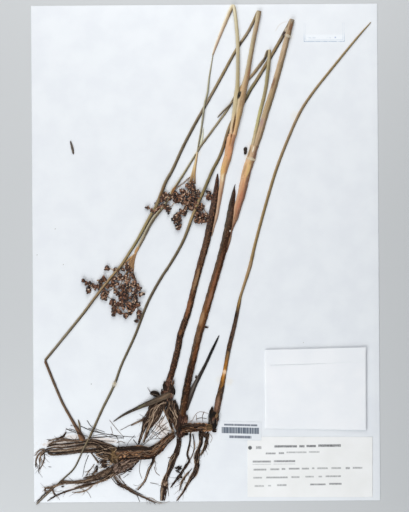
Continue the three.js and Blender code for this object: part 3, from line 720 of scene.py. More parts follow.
def fragment_packet():
    """A folded paper packet: its body springs open to the right and the top, and a flap lies over it."""
    p = PACKET
    corners = [(p["left"], p["low"]), (p["right"], p["low"] - p["skew"]), (p["right"], p["high"] + p["skew"]),
               (p["left"], p["high"])]
    flap_low = p["high"] - p["flap"]
    flap = [(p["left"] + p["flap_inset"], flap_low), (p["right"] - 1.0, flap_low + p["skew"]),
            (p["right"] - 0.1, p["high"] + p["skew"]), (p["left"] + 0.1, p["high"])]
    folds = [0.022, 0.055, 0.945, 0.968]

    def spring(u, v):
        bulge = 0.12 * np.sin(math.pi * u) * np.sin(math.pi * v)
        return p["right_rise"] * u ** 1.4 + p["top_rise"] * v ** 2 + bulge

    def creases(u):
        return sum(0.09 * np.exp(-((u - fold) / 0.004) ** 2) for fold in folds)

    def face(u, v):
        roll = rim_drop(u, v, 0.011, 0.75)
        return FACE + 0.62 * p["thick"] + spring(u, v) - creases(u) - roll

    def back(u, v):
        return FACE + 0.03 + 0.55 * spring(u, v) * np.clip(u, 0, 1)

    def flap_face(u, v):
        share = 1 - (1 - v) * p["flap"] / (p["high"] - p["low"])
        across = u * (1 - 0.07 * (1 - v)) + 0.06 * (1 - v)
        lift = (0.38 + 0.3 * (1 - v) ** 2) * np.clip(1.5 - 1.55 * u, 0.04, 1)
        return FACE + 0.62 * p["thick"] + spring(across, share) + lift - rim_drop(u, v, 0.011, 0.16)

    def flap_back(u, v):
        return flap_face(u, v) - 0.16 - rim_drop(u, v, 0.011, 0.02)

    body = Body()
    sheet_patch(body, corners, edged(90, 0.003), edged(40, 0.004), face, back)
    sheet_patch(body, flap, edged(60, 0.003), edged(12, 0.02), flap_face, flap_back)
    stock = paper_finish("packet_stock", "#f8f9fb", "#f3f5f8")
    body.piece("packet_paper", [stock], "white_paper", "fragment_packet")


# Drops of dried paste: x, y, size across and along, turn and height
GLUE_DROPS = [
    (70.4, 182.4, 6.4, 4.4, -0.27, 3.6), (38.7, 79.2, 9.2, 4.2, -0.25, 2.9),
    (-77.5, -110, 4.6, 4.6, -0.45, 1.9),
]


def glue_drop(number, x, y, across, along, turn, height, finish):
    """A low uneven dome of paste over a stem."""
    rng = draws("paste", number)
    body = Body()
    spokes = np.arange(40) * TAU / 40
    wobble = 1 + wander(spokes / TAU * 40, 0.07, 40, rng)
    shares = np.array([1, 0.985, 0.95, 0.88, 0.78, 0.65, 0.5, 0.34, 0.18, 0.05])
    rise = np.sqrt(1 - shares ** 2)
    reach = shares[:, None] * wobble[None]
    flat_x = 0.5 * across * reach * np.cos(spokes)
    flat_y = 0.5 * along * reach * np.sin(spokes)
    points = np.empty((len(shares), 40, 3))
    points[..., 0] = x + flat_x * math.cos(turn) - flat_y * math.sin(turn)
    points[..., 1] = y + flat_x * math.sin(turn) + flat_y * math.cos(turn)
    lumps = 1 + 0.05 * np.sin(3 * spokes + number)[None] * shares[:, None]
    points[..., 2] = FACE - 0.02 + height * rise[:, None] * lumps
    body.rings(points, np.zeros(3))
    body.piece(f"paste_drop_{number}", [finish], "dried_glue", f"glue_drop_{number}")


# Left shoot: rows of x, y, width and, where a stem crosses over another, its lift
SHEATH_A = [
    (-30.3, -104, 5.4), (-29, -100, 5.2), (-26.3, -90, 5.4), (-23.8, -80, 5.3), (-22, -70, 5.4),
    (-18.7, -60, 5.4), (-15.1, -50, 5.2), (-10, -30, 5.1), (-4.7, -10, 5.5), (1, 10, 5.8), (4, 25, 5.8),
    (7, 40, 5.6), (8.7, 50, 4.6), (10, 60, 3.2), (10.5, 67, 0.8),
]
CULM_A = [
    (5.2, 14, 0.8), (6.6, 20, 1.4), (7.8, 25, 2), (9.2, 30, 2.7), (10.9, 40, 3.3), (12.7, 50, 3.7),
    (14.4, 60, 4.1), (14.9, 64, 4.5), (16, 70, 5.6), (17.4, 75, 6.2), (19, 80, 6.4), (20, 85, 6.6),
    (20.8, 90, 6.8, 1.2), (21.8, 95, 6.8, OVER), (22.8, 98.8, 6.6, OVER),
]
LEAF_A = [
    (22.1, 99.8, 3.4, OVER), (23.9, 110, 3.8, OVER), (25.2, 119, 4, OVER), (26.6, 130, 4.6, OVER),
    (27, 134, 4.3, OVER), (27.6, 140, 3.4, OVER), (28.2, 160, 3, OVER), (28, 180, 3, OVER),
    (26.8, 195, 2.8, OVER), (25.6, 205, 2.8, OVER), (24.8, 209.4, 2.2, OVER),
]
LEAF_A_FOLD = [
    (23.4, 207.4, 3.4, 1), (18.4, 196, 3.3), (13.8, 185, 2.8), (9.8, 175, 2.4), (6.8, 166.4, 1.5),
]
STEM_A_UPPER = [
    (24.6, 99.6, 4.6, OVER), (26.9, 110, 5, OVER), (29, 119, 5.6, OVER), (31.3, 130, 6, OVER),
    (32.1, 134, 5.8, OVER), (33.5, 140, 5.3, OVER), (36, 150, 4.4, OVER), (37.8, 160, 3.9, OVER),
    (41.6, 180, 3.7, OVER), (43.8, 190, 3.7, OVER), (46.4, 203.8, 4.2, OVER),
]
STEM_A_RETURN = [
    (45, 202.4, 2.6), (41.6, 195, 2.6), (36.2, 185, 2.6), (30, 176, 2.6), (25, 168, 2.6), (15, 150, 2.6),
    (3.8, 130, 2.6), (-7.7, 110, 2.6), (-18.3, 90, 2.6), (-27.7, 70, 2.7), (-33.3, 60, 2.8, 1.4),
    (-37.3, 50, 2.9, OVER), (-41.3, 40, 2.9, OVER), (-47.1, 30, 2.9, OVER), (-58.2, 10, 2.6, 1),
    (-64.7, 0, 2.5, 1.4), (-71.3, -10, 2.5, OVER), (-79.8, -20, 2.4, OVER), (-88, -30, 2.4, OVER),
    (-95.7, -40, 2.4, 1.4), (-103.3, -50, 2.4), (-135.4, -89, 2.2),
]
STEM_A_END = [
    (-135.6, -91, 2.2), (-128.5, -109, 2.2), (-121.3, -126, 2.2), (-113.7, -140, 2.5), (-108, -150, 3.6),
    (-105.6, -154.6, 5),
]

# Right shoot
SHEATH_B = [
    (-20.4, -134.5, 5.6, 2.2), (-18, -120, 6, 2.2), (-16, -110, 6, 2), (-13.8, -100, 6, 1), (-11.3, -90, 6),
    (-6.5, -70, 6.2), (-0.7, -50, 6.4), (5.2, -30, 6.4), (11.2, -10, 6.4), (16.5, 10, 6.4), (20.6, 30, 6),
    (22.1, 40, 5), (23.9, 50, 3.2), (24.6, 55.5, 1), (25.4, 58, 0.4),
]
CULM_B = [
    (17.4, 0, 0.8), (20.2, 10, 1.8), (22.2, 20, 2.2), (25.2, 30, 5.2), (27.7, 40, 6.2), (30, 47, 6.6),
    (33, 60, 7.2), (35.4, 70, 7.4), (37.1, 75, 7.4), (38.9, 80, 7.4), (40.3, 85, 7), (41.4, 89, 6.9),
]
LEAF_B = [
    (40.3, 90.4, 3.1), (42.5, 100, 3.2), (44.6, 110, 2.8), (47, 120, 3), (49.7, 130, 3),
    (51.8, 140, 3, 0.6), (53.1, 150, 3, OVER), (54.3, 160, 3, OVER), (55, 171, 2.6, OVER),
]
LEAF_B_RETURN = [
    (52.4, 167.6, 2.4), (50.9, 163.6, 2.6), (48.2, 160, 2.8), (44.4, 155, 2.8), (40.8, 150.4, 2.6),
    (36, 145.4, 2.5), (30.6, 139.4, 2.4), (24, 129, 2.2), (18.9, 120.4, 2), (11.2, 110, 2), (3.8, 100, 2),
    (-3.7, 90, 2), (-5.4, 87.3, 2), (-6.6, 84.6, 1.4),
]
STEM_B_UPPER = [
    (43.2, 90.2, 4.4), (46.2, 100, 5.3), (49.2, 110, 5.2), (52.1, 120, 5.3), (55.4, 130, 5.3),
    (58.6, 140, 5.1), (61.5, 150, 5), (67, 170, 4.7, 1), (69.6, 180, 4.5, OVER), (74.2, 196.6, 4.2, OVER),
]
STEM_B_RETURN = [
    (72.6, 194.6, 2.8), (67.5, 185, 3), (61.8, 175, 3), (51, 157, 3), (43.6, 145, 3), (39, 138, 2.9),
    (34.8, 130, 2.8), (21.6, 108, 2.8), (18.7, 100, 2.8), (15.8, 90, 2.9), (11.8, 80, 2.8),
    (6.4, 70, 2.8, 1), (2, 60, 2.8, OVER), (-2.4, 50, 2.8, OVER), (-7.1, 40, 2.8, OVER),
    (-11.2, 30, 2.8, OVER), (-19, 10, 2.5), (-30.5, -10, 2.4), (-37.2, -20, 2.4), (-48.4, -40, 2.4),
    (-60.4, -70, 2.2), (-72, -95, 2.1), (-77.5, -110, 2.2), (-88.4, -132, 2.2), (-96.4, -149.6, 2.1, 0.8),
    (-99.4, -156, 1.9, 2.6), (-103.4, -163.6, 1.8, 2.6), (-106, -169, 1.4, 0.8), (-112.5, -181.4, 1.4),
    (-121.4, -189.8, 1.3), (-134.5, -202, 1.3), (-144.2, -211.3, 0.9),
]
LOOSE_TIP = [
    (21.2, 124.9, 1.5, OVER), (17.2, 121, 1.5, OVER), (13.5, 117.3, 1.3, 1), (10.6, 114.2, 0.8),
]
BRACT = [
    (7.2, 167, 0.9), (4, 148, 1.5), (2.2, 134, 1.6, OVER), (0, 126, 1.6, OVER), (-1.2, 117, 1.6, OVER),
    (-2.6, 107, 1.7), (-3.6, 100.7, 1.7), (-5.3, 92.2, 1.4), (-6.2, 87, 1.2),
]
BRACT_FILM = [(-1.2, 106, 0.4), (-1.8, 100, 1.3), (-2.8, 95, 1.9), (-4.2, 90, 0.9)]
LOWER_CULM = [
    (-9.8, 80.1, 1.9), (-13, 75, 2), (-19.3, 65, 2.1, 1), (-25.2, 56, 2.4, OVER), (-27.2, 53, 3, OVER),
    (-31.5, 45, 2.2, OVER), (-36.5, 38, 2.5, OVER), (-43.1, 30, 2.9, 1.4), (-46.4, 25, 3, 1),
    (-54.2, 10, 2.9), (-58.9, 1.4, 2.5),
]

# Long single leaf, small leaves and loose bits
SHEATH_C = [
    (8.4, -133.6, 5), (9.9, -125, 5.5), (12.3, -115, 4.9), (13.7, -108, 4.3), (15.4, -100, 3.4),
    (19.2, -80, 3.8), (24.2, -60, 3.4), (28.2, -41, 2.8), (29, -37.4, 2.4),
]
LEAF_C = [
    (29.3, -36.2, 2.3), (32, -28, 2.4), (37.4, -11, 3), (41.2, 5, 2.6), (50.8, 40, 2.5), (60, 70, 2.5),
    (70.8, 97.5, 2.4), (80.8, 119, 2.4), (90, 133, 2.2), (110, 158, 2), (130, 182, 1.6), (140.8, 194, 0.8),
]
BASAL_LEFT = [
    (-30, -117.5, 2.4, 3.4), (-32, -118.8, 4.4, 3.6), (-34.6, -120.3, 5.2, 3.6), (-38.8, -122, 4.9, 3.2),
    (-45.4, -124.9, 4.6, 2.8), (-52, -127.6, 3.9, 1.4), (-60, -131.2, 2.7), (-70, -136, 1.9),
    (-79, -141.8, 0.6),
]
BASAL_RIGHT = [
    (-17.8, -133, 3.6), (-16.1, -127, 4.2), (-13.6, -120, 4.6), (-10.3, -112, 4), (-5.2, -102.5, 3),
    (0, -92.5, 2.5), (4.9, -82, 2.3), (9, -73.6, 1.6), (11, -69.4, 0.7),
]
SHOOT = [
    (-106.9, -147.6, 1.2), (-107.4, -144, 1.8), (-108.6, -139.7, 0.6),
]
SLIVER = [(-110.9, 84, 1.4), (-111.7, 88.5, 2.1), (-113.5, 95.4, 1.2)]
FRAGMENT = [(33.5, 82.9, 2.4), (34.2, 85.2, 3.1), (34.0, 87, 2.6), (34.9, 89.2, 2.1)]

# Each stem: its node, rows, slot, form, look, and the tones along it from its lowest height to its highest
STEMS = [
    ("sheath_a", SHEATH_A, "dark_sheath", {"lap": 0.3, "ribs": 5.0, "ragged": 0.07, "reach": (12, 0)},
     {"edge": ("#120c09", 0.85), "rim": ("#4a4341", 0.45), "streak": ("#120c09", 0.75),
      "light": ("#9a6c50", 0.35), "rich": 1.35, "shine": 0.1, "grit": 0.9, "marks": [
          ("#8d5d3f", -14.6, -44.5, 10, 1.7, 76, 0.8), ("#98795a", -8, -21.5, 11, 1.5, 75, 0.8),
          ("#7d5538", -21.5, -66.6, 3, 1.6, 70, 0.8), ("soot", -22.6, -71.3, 1.6, 3, 70, 0.9),
          ("#7a5034", -31.6, -107, 6, 1.0, 76, 0.8), ("#6b5243", -1.5, 0, 9, 1.1, 76, 0.6)]},
     [(-116, "soot"), (-95, "bark"), (-80, "#33281f"), (-58, "#3a2a20"), (-48, "umber"), (-36, "#5e4433"),
      (-26, "#705844"), (-12, "#5f4535"), (8, "#4a3a2f"), (25, "#463a33"), (45, "#4d3d36"), (58, "#3a2c28"),
      (67, "soot")]),
    ("culm_a", CULM_A, "golden_culm", {"furrow": 0.2, "reach": (0, 1.4), "ends": ("round", "blunt")},
     {"edge": ("#6f4c3c", 0.7), "rim": ("peach", 0.5), "streak": ("amber", 0.45),
      "light": ("peach", 0.35), "marks": [
          ("#a06a34", 21.6, 94, 4.4, 0.8, 78, 0.8), ("#dcb877", 14, 70, 6, 1.2, 74, 0.8),
          # The dark mark at 99 is painted shade where the slit between leaf A and stem A begins on the culm.
          ("#d99a6e", 20.6, 84, 7, 1.7, 76, 0.7), ("#6a4218", 22.4, 99, 2.4, 0.9, 79, 0.9)]},
     [(20, "#9a8573"), (36, "rose"), (50, "#b6947a"), (59, "#c2a27f"), (63, "#ddcba6"), (65, "#d9c49a"),
      (67, "#cf9f63"), (80, "gold"), (88, "#d49a70"), (93, "#cf9a6e"), (100, "#d9a67e")]),
    ("leaf_a", LEAF_A, "pale_leaf", {"furrow": 0.1, "reach": (3, 0), "ends": ("round", "blunt")},
     {"edge": ("#8f7c58", 0.6), "streak": ("#a8946d", 0.4), "light": ("#dccfae", 0.35),
      "gain": 1.1, "marks": [
          # The near-black spot at 133 is painted shadow in the gap beside stem A; the dark line at 108.6 is
          # painted shade in the slit.
          ("#100a05", 28.9, 133, 3.8, 1.3, 74, 1.0), ("#5a3814", 24.7, 108.6, 11, 1.0, 79.6, 1.0)]},
     [(96, "#d6a27a"), (106, "#d6b38c"), (120, "#c6b48d"), (134, "#baa882"), (140, "#ab9c73"),
      (158, "#a0957a"), (172, "#b8aa8a"), (190, "#c5bc9c"), (203, "#d5ccae"), (210, "#e2dabf")]),
    ("leaf_a_fold_back", LEAF_A_FOLD, "rosy_stem", {"reach": (2.2, 0)},
     {"edge": ("#7a6248", 0.7), "rim": ("#f0e8d2", 0.95), "streak": ("#a08a70", 0.35),
      "marks": [("#4a3826", 23.4, 203.5, 5, 0.7, 66, 0.9)]},
     [(166, "#5a4a3e"), (170, "#b59c88"), (185, "#c8ae98"), (196, "#c4b092"), (203, "#b09a74"),
      (209, "#d6c8a4")]),
    ("stem_a_upper", STEM_A_UPPER, "golden_culm",
     {"furrow": 0.16, "ribs": 4.0, "reach": (3, 0.2), "ends": ("round", "blunt")},
     {"edge": ("#6d553f", 0.8), "streak": ("#a1794c", 0.4), "light": ("#e2cfa6", 0.35), "marks": [
         # The dark line at 108.6 is painted shade in the slit beside leaf A; the near-black spot at 133 is
         # painted shadow in the gap.
         ("#5a3814", 24.7, 108.6, 11, 1.0, 79.6, 1.0), ("#100a05", 29.2, 133, 3.8, 1.3, 74, 1.0),
         ("#d0a878", 30.4, 139, 3.2, 1.4, 76, 0.8), ("#8a5f42", 37.6, 152, 5, 1.4, 77, 0.75),
         ("#50402c", 46.3, 204.4, 1.0, 2.6, 64, 0.8), ("#8f7560", 30.4, 127, 6, 1.2, 80, 0.5)]},
     [(96, "#dca67e"), (106, "#d3ab78"), (116, "#c5a36c"), (124, "#bb9a6c"), (134, "#b4946e"),
      (146, "#a98a66"), (156, "#9a8563"), (170, "#9f9170"), (180, "#94856a"), (190, "#a18a70"),
      (198, "#a8987a"), (204, "#85755c")]),
    ("stem_a_return", STEM_A_RETURN, "brown_stem", {"reach": (1.5, 1.4)},
     {"edge": ("#2e2217", 0.9), "rim": ("#b3a488", 0.45), "streak": ("#54462f", 0.5),
      "light": ("#b5a888", 0.3), "gain": 1.25, "rich": 1.35, "marks": [
          ("soot", 30, 175.8, 3.4, 1.3, 60, 0.9), ("#3a2b1e", 25.2, 166, 3, 1.4, 60, 0.6)]},
     [(-90, "#4e3d29"), (-80, "#6f695f"), (-50, "#716856"), (-30, "#8d745c"), (-10, "#8d7a5e"),
      (10, "#857b5c"), (28, "#8a7d60"), (42, "#6f6046"), (52, "#64482f"), (62, "#5d5344"), (72, "#655b4d"),
      (90, "#4e4438"), (110, "#5d5448"), (130, "#85796a"), (150, "#80725a"), (176, "#8f7f66"),
      (188, "#96897a"), (196, "#7d6c52"), (203, "#6a5840")]),
    ("stem_a_end", STEM_A_END, "brown_stem", {"reach": (1.2, 3.5)},
     {"edge": ("soot", 0.8), "streak": ("umber", 0.55), "rim": ("#8a6a4c", 0.5), "light": ("#a07a56", 0.35)},
     [(-158, "#6d4626"), (-150, "#644530"), (-143, "#5c4533"), (-126, "#5e5040"), (-108, "#52483a"),
      (-91, "umber")]),
    ("sheath_b", SHEATH_B, "dark_sheath", {"lap": 0.45, "ribs": 5.0, "ragged": 0.07, "reach": (4, 0)},
     {"edge": ("#2c180f", 0.75), "rim": ("#57554d", 0.5), "streak": ("#140c08", 0.75),
      "light": ("#9a7054", 0.3), "shine": 0.1, "rich": 1.35, "grit": 0.5, "marks": [
          ("#a5805d", -3.6, -54.5, 7, 2.1, 74, 0.85), ("#91674f", 3.4, -38, 9, 1.6, 74, 0.8),
          ("#8a5c42", 7.6, -22.5, 9, 1.4, 74, 0.7), ("#6e4325", -9.3, -84, 9, 1.3, 75, 0.8),
          ("#7b5d45", -6.6, -71, 5, 1.4, 75, 0.6), ("#6a4634", 12.8, -5, 9, 1.2, 74, 0.6),
          ("#57443a", 21.5, 34, 8, 0.9, 80, 0.5), ("#140c08", -20, -120, 20, 1.2, 77, 0.85),
          ("#140c08", -14.6, -98, 12, 0.9, 77, 0.7), ("#a08468", 20.2, 11, 7, 0.7, 74, 0.9),
          ("#efe6da", 20.9, 18.5, 0.9, 0.7, 74, 0.95)]},
     [(-138, "#48301f"), (-116, "#3e2a1e"), (-100, "#38231a"), (-84, "#3d281a"), (-72, "#5d4433"),
      (-56, "#7b5a41"), (-46, "#6b4a34"), (-26, "#6f4b36"), (-10, "#4f3728"), (10, "#3a291c"),
      (30, "#3b322c"), (48, "#2b2320"), (55, "soot")]),
    ("culm_b", CULM_B, "golden_culm",
     {"furrow": 0.2, "lap": 0.4, "reach": (0, 2), "ends": ("round", "blunt")},
     {"edge": ("#5f4136", 0.85), "rim": ("#dcb896", 0.5), "streak": ("#9c6b42", 0.4),
      "light": ("#e0bd96", 0.45), "marks": [
          ("#dcb878", 36.6, 70, 7, 1.3, 73, 0.8), ("#e2ceaa", 38.4, 79, 0.9, 3.2, 72, 0.8),
          ("#b8785a", 29.6, 45, 9, 1.5, 76, 0.6), ("#f4ead8", 40.6, 87, 3.2, 0.6, 74, 0.9),
          ("#8d7650", 37.6, 85, 6, 0.8, 74, 0.8), ("#9b7a4c", 33.2, 70, 7, 0.8, 73, 0.6)]},
     [(20, "#6b4936"), (30, "#8d6248"), (38, "#a97056"), (47, "#ad7554"), (58, "#c4906a"), (66, "#cfa273"),
      (76, "#d3ae7c"), (82, "#bfa184"), (91, "#b6a07c")]),
    ("leaf_b", LEAF_B, "olive_leaf", {"furrow": 0.1, "reach": (2.4, 0.2), "ends": ("blunt", "blunt")},
     {"edge": ("#6b5a3a", 0.75), "rim": ("#c9bf93", 0.4), "streak": ("#7b6b48", 0.4),
      "light": ("#c9bf95", 0.35), "marks": [("#b3b078", 44.8, 113, 10, 1.0, 77, 0.4)]},
     [(88, "#b9a283"), (98, "#bca785"), (106, "#bdae83"), (118, "#b2a872"), (126, "#978862"),
      (134, "#8f7f60"), (148, "#8a7e5a"), (158, "#94866a"), (166, "#ad9a78"), (171, "#c3ac88")]),
    ("leaf_b_return", LEAF_B_RETURN, "olive_leaf", {"reach": (3.6, 0)},
     {"edge": ("#4b3c28", 0.8), "rim": ("#c0b090", 0.5), "streak": ("#6a5c44", 0.55),
      "light": ("cream", 0.2), "marks": [
          ("#1d140c", 51.6, 164, 3.4, 1.1, 55, 0.95), ("#2a1b10", 23.6, 127, 2.4, 1.0, 55, 0.9)]},
     # The dark band near 132 is painted shadow where this limb lies in the gap between leaf A and stem A.
     [(87, "#7a705c"), (100, "#8a8068"), (118, "#8d8269"), (125, "#75654c"), (132, "#3f2f20"),
      (137, "#a38b6f"), (150, "#8b7355"), (157, "#7d6a4e"), (162, "#4f3f2b"), (168, "#35281a")]),
    ("stem_b_upper", STEM_B_UPPER, "rosy_stem",
     {"furrow": 0.2, "ribs": 4.0, "reach": (2.4, 0.2), "ends": ("blunt", "blunt")},
     {"edge": ("#5b4933", 0.8), "rim": ("#d3bb9c", 0.45), "streak": ("#7d6d4f", 0.45),
      "light": ("#cfb894", 0.35), "marks": [
          ("#b08f86", 48, 109.5, 4.5, 1.4, 75, 0.8), ("#7a5138", 58, 143, 5.5, 1.3, 73, 0.7),
          ("#6f4a33", 73.2, 190, 4, 1.5, 74, 0.75), ("#8c8478", 74.4, 195.6, 1.4, 2.2, 74, 0.6)]},
     [(88, "#a98f72"), (98, "#ae9272"), (108, "#ad9079"), (116, "#a8906e"), (128, "#a0875f"),
      (138, "#9a7d5c"), (152, "#aa9070"), (168, "#b39a7e"), (178, "#b09a80"), (186, "#8f7458"),
      (192, "#8c735c"), (197, "#7a6c5c")]),
    ("stem_b_return", STEM_B_RETURN, "brown_stem", {"reach": (1.5, 0)},
     {"edge": ("#2a2015", 0.9), "rim": ("#aaa08a", 0.4), "streak": ("#463a2a", 0.45),
      "light": ("#b0a488", 0.25), "gain": 1.1, "rich": 1.3, "marks": [
          ("#3a2c2a", 67.2, 184.6, 2.6, 1.5, 58, 0.95), ("#2a1b10", 18, 94, 3.4, 1.2, 70, 0.9),
          ("#cfc3ae", 69.4, 188, 2.4, 1.4, 58, 0.7), ("#b9b0a0", -77.5, -110, 2.6, 1.5, 66, 0.8)]},
     [(-211, "#7d7164"), (-197, "#6f5f50"), (-187, "#4a463e"), (-170, "#524c40"), (-160, "#655743"),
      (-120, "#6e6857"), (-90, "#5e5646"), (-60, "#554a3a"), (-34, "#4b4034"), (-10, "#5a4f3e"),
      (8, "#62553f"), (20, "#776850"), (30, "#a08969"), (42, "#94825e"), (62, "#6f6446"), (80, "#7a6a4b"),
      (92, "#6b5138"), (106, "#9a8468"), (126, "#5b4630"), (138, "#6f6847"), (146, "#84745a"),
      (160, "#8a7354"), (176, "#86745a"), (186, "#6f6358"), (195, "#94897a")]),
    ("leaf_tip_loose", LOOSE_TIP, "brown_stem", {"reach": (4, 0)}, {"edge": ("soot", 0.8)},
     [(114, "#4a4030"), (125, "#5a4c3a")]),
    ("culm_lower_head", LOWER_CULM, "olive_leaf", {"reach": (4.6, 1.5)},
     {"edge": ("#42321f", 0.8), "rim": ("#d6cbae", 0.8), "streak": ("#574a32", 0.55), "marks": [
         ("#8d5c2c", -26.8, 53.2, 3.4, 1.4, 60, 0.85), ("#c08d55", -59, 2, 5, 1.6, 55, 0.8)]},
     [(0, "#b98b58"), (6, "#8c7c64"), (22, "#6d675a"), (34, "#6a5c42"), (46, "#6b6046"), (52, "#7d5732"),
      (60, "#5d5038"), (68, "#6f6a48"), (76, "#6e664c"), (84, "#6b5940")]),
    ("sheath_c", SHEATH_C, "brown_stem", {"lap": -0.3, "reach": (3, 2)},
     {"edge": ("#3c2a1c", 0.7), "rim": ("#2b1d14", 0.45), "streak": ("#20140d", 0.7), "grit": 0.4,
      "rich": 1.35, "light": ("#b08a64", 0.2), "marks": [
          ("#ecc7a0", 15.4, -100.4, 1.6, 2, 0, 0.95), ("#0f0804", 14.8, -113.4, 3.4, 1.6, 55, 1.0),
          ("#2a1a12", 13.8, -118, 8, 2, 72, 0.85), ("#8a6a55", 9.4, -126.4, 6, 1.4, 78, 0.7),
          ("#0f0804", 25.2, -52, 3, 1, 78, 0.9), ("#0f0804", 21, -71, 1.6, 1.2, 60, 0.8),
          ("#1d110a", 19.2, -81.6, 1.4, 2, 10, 0.9)]},
     [(-138, "#4f3a2b"), (-127, "#73554a"), (-121, "#55402f"), (-116, "#3a291d"), (-112, "#8f663c"),
      (-104, "#a57546"), (-100.6, "#dcb085"), (-98, "#b9854f"), (-92, "#94683f"), (-87, "#786046"),
      (-83, "#5a4430"), (-78, "#33231a"), (-66, "#42322a"), (-54, "#2e231b"), (-50, "#4f4130"),
      (-44, "#8f7650"), (-37, "#a08a68")]),
    ("leaf_c", LEAF_C, "olive_leaf", {"furrow": 0.12, "reach": (1.5, 0)},
     {"edge": ("#57401f", 0.8), "rim": ("#c8a882", 0.5), "streak": ("#6b5429", 0.4),
      "light": ("#c4ad7c", 0.3), "gain": 1.04, "rich": 1.7, "marks": [("#a58a6f", 37, -12, 6, 1.0, 72, 0.6)]},
     [(-38, "#867968"), (-14, "#94806a"), (0, "#857760"), (60, "#817662"), (110, "#847a6e"), (150, "#7e7562"),
      (194, "#8a8270")]),
    ("basal_leaf_left", BASAL_LEFT, "olive_leaf", {"furrow": 0.25},
     {"edge": ("#4a3b2c", 0.5), "rim": ("#241a12", 0.7), "streak": ("#2a1f16", 0.8),
      "light": ("#8f7a60", 0.4), "gain": 1.05, "marks": [
          ("#6c6a48", -55, -128.8, 5, 0.7, 28, 0.7), ("#7d654e", -36, -120.4, 6, 1.0, 28, 0.6)]},
     [(-142, "#3a342c"), (-132, "#2e271f"), (-127, "#43372a"), (-122, "#5b4a3a"), (-117, "#6b5644")]),
    ("basal_leaf_right", BASAL_RIGHT, "dark_sheath", {"furrow": 0.25},
     {"edge": ("#1b1613", 0.7), "rim": ("#5a554c", 0.25), "streak": ("#120d0b", 0.55),
      "light": ("#5d5148", 0.2), "gain": 1.0, "grit": 0.1, "marks": [
          ("#6f665c", -10.4, -112, 12, 0.8, 66, 0.6), ("#0d0a09", 5.6, -80.6, 11, 3, 66, 0.9)]},
     [(-133, "#54402f"), (-122, "#4a3a33"), (-106, "#3b302c"), (-95, "#1f1815"), (-70, "#120e0c")]),
    ("shoot_small", SHOOT, "olive_leaf", {"reach": (3, 0)}, {"edge": ("bark", 0.8)},
     [(-150, "#5a4632"), (-140, "#4f4433")]),
    ("loose_sliver", SLIVER, "dark_sheath", {"sides": 12}, {"edge": ("soot", 0.8), "rim": ("#7f7a78", 0.5)},
     [(84, "#3b3230"), (95, "#4d4442")]),
    ("loose_fragment", FRAGMENT, "dark_sheath", {"sides": 12, "step": 0.4, "ragged": 0.3},
     {"edge": ("#120d08", 0.8), "rim": ("#2b241c", 0.5), "light": ("#3a3026", 0.35)},
     [(82, "#1a130d"), (90, "#2a2119")]),
]


def stems():
    """Every stem and leaf of the table, each with a skin of its own."""
    for number, (node, rows, slot, form, look, bands) in enumerate(STEMS):
        rng = draws("stems", number)
        body = Body()
        stem(body, rows, rng, strand=number * 0.37, **form)
        body.piece(f"{node}_pressed", [stem_finish(f"{node}_skin", bands, **look)], slot, node)


def bract():
    """The thin bract, and the pale film at its foot."""
    rng = draws("bract")
    body = Body()
    stem(body, BRACT, rng, sides=14, strand=0.4, reach=(0, 4))
    stem(body, BRACT_FILM, rng, sides=12, rib=0.02, furrow=0.0, kind=1)
    bands = [(88, "#6f6a50"), (100, "#7d7a66"), (118, "#8a8874"), (134, "#a7a88c"), (165, "#9a9684")]
    skin = stem_finish("bract_skin", bands, edge=("#565040", 0.8))
    film = stem_finish("bract_membrane", [(90, "#d4d4b8"), (106, "#dedfcb")], edge=("#bdb89c", 0.8),
                       streak=("#c8c4a8", 0.2))
    body.piece("bract_thin_pressed", [skin, film], "olive_leaf", "bract_thin")


# Twigs of the two heads, from the stalk outwards
LOWER_SPRAYS = [
    [(-64.7, -4.7), (-72, -13), (-78, -21), (-83, -24), (-88, -27), (-93, -28), (-98, -27), (-103, -22.4)],
    [(-59.4, -0.7), (-65, -12), (-70, -22), (-74, -29), (-79, -30), (-84, -33), (-86, -37)],
    [(-59.4, -0.7), (-63, -14), (-66, -26), (-68, -38), (-73, -44), (-76, -49)],
    [(-60, -4), (-61, -15), (-60, -27), (-61, -38), (-63, -46), (-66, -51)],
    [(-61.4, -16), (-58.4, -24), (-58, -33), (-54, -34.3)], [(-83, -24), (-92, -22.4), (-88, -22)],
    [(-58, -42), (-57.4, -50), (-58.7, -57)], [(-76, -16), (-79.4, -13), (-82.9, -11.9)],
]
UPPER_SPRAYS = [
    [(-11, 63), (-14, 54), (-18, 48), (-24, 48), (-30, 48), (-36, 46), (-39, 42), (-43, 36), (-48.4, 38.4)],
    [(-14, 62), (-15, 57.6)], [(-18, 46), (-25, 43), (-31, 38.4), (-34, 39)],
    [(-13, 54), (-15, 45), (-18, 38), (-22, 33), (-25.6, 28), (-23, 24), (-23.4, 20.8)],
    [(-11, 60), (-12, 48), (-12, 40), (-8, 33), (-6, 27)],
    [(-9, 57), (-7, 50), (-6, 42), (-2, 33), (-0.4, 27)], [(-6, 50), (0, 48), (3.4, 49)],
    [(-5, 44), (-1, 37), (1.4, 32)],
]
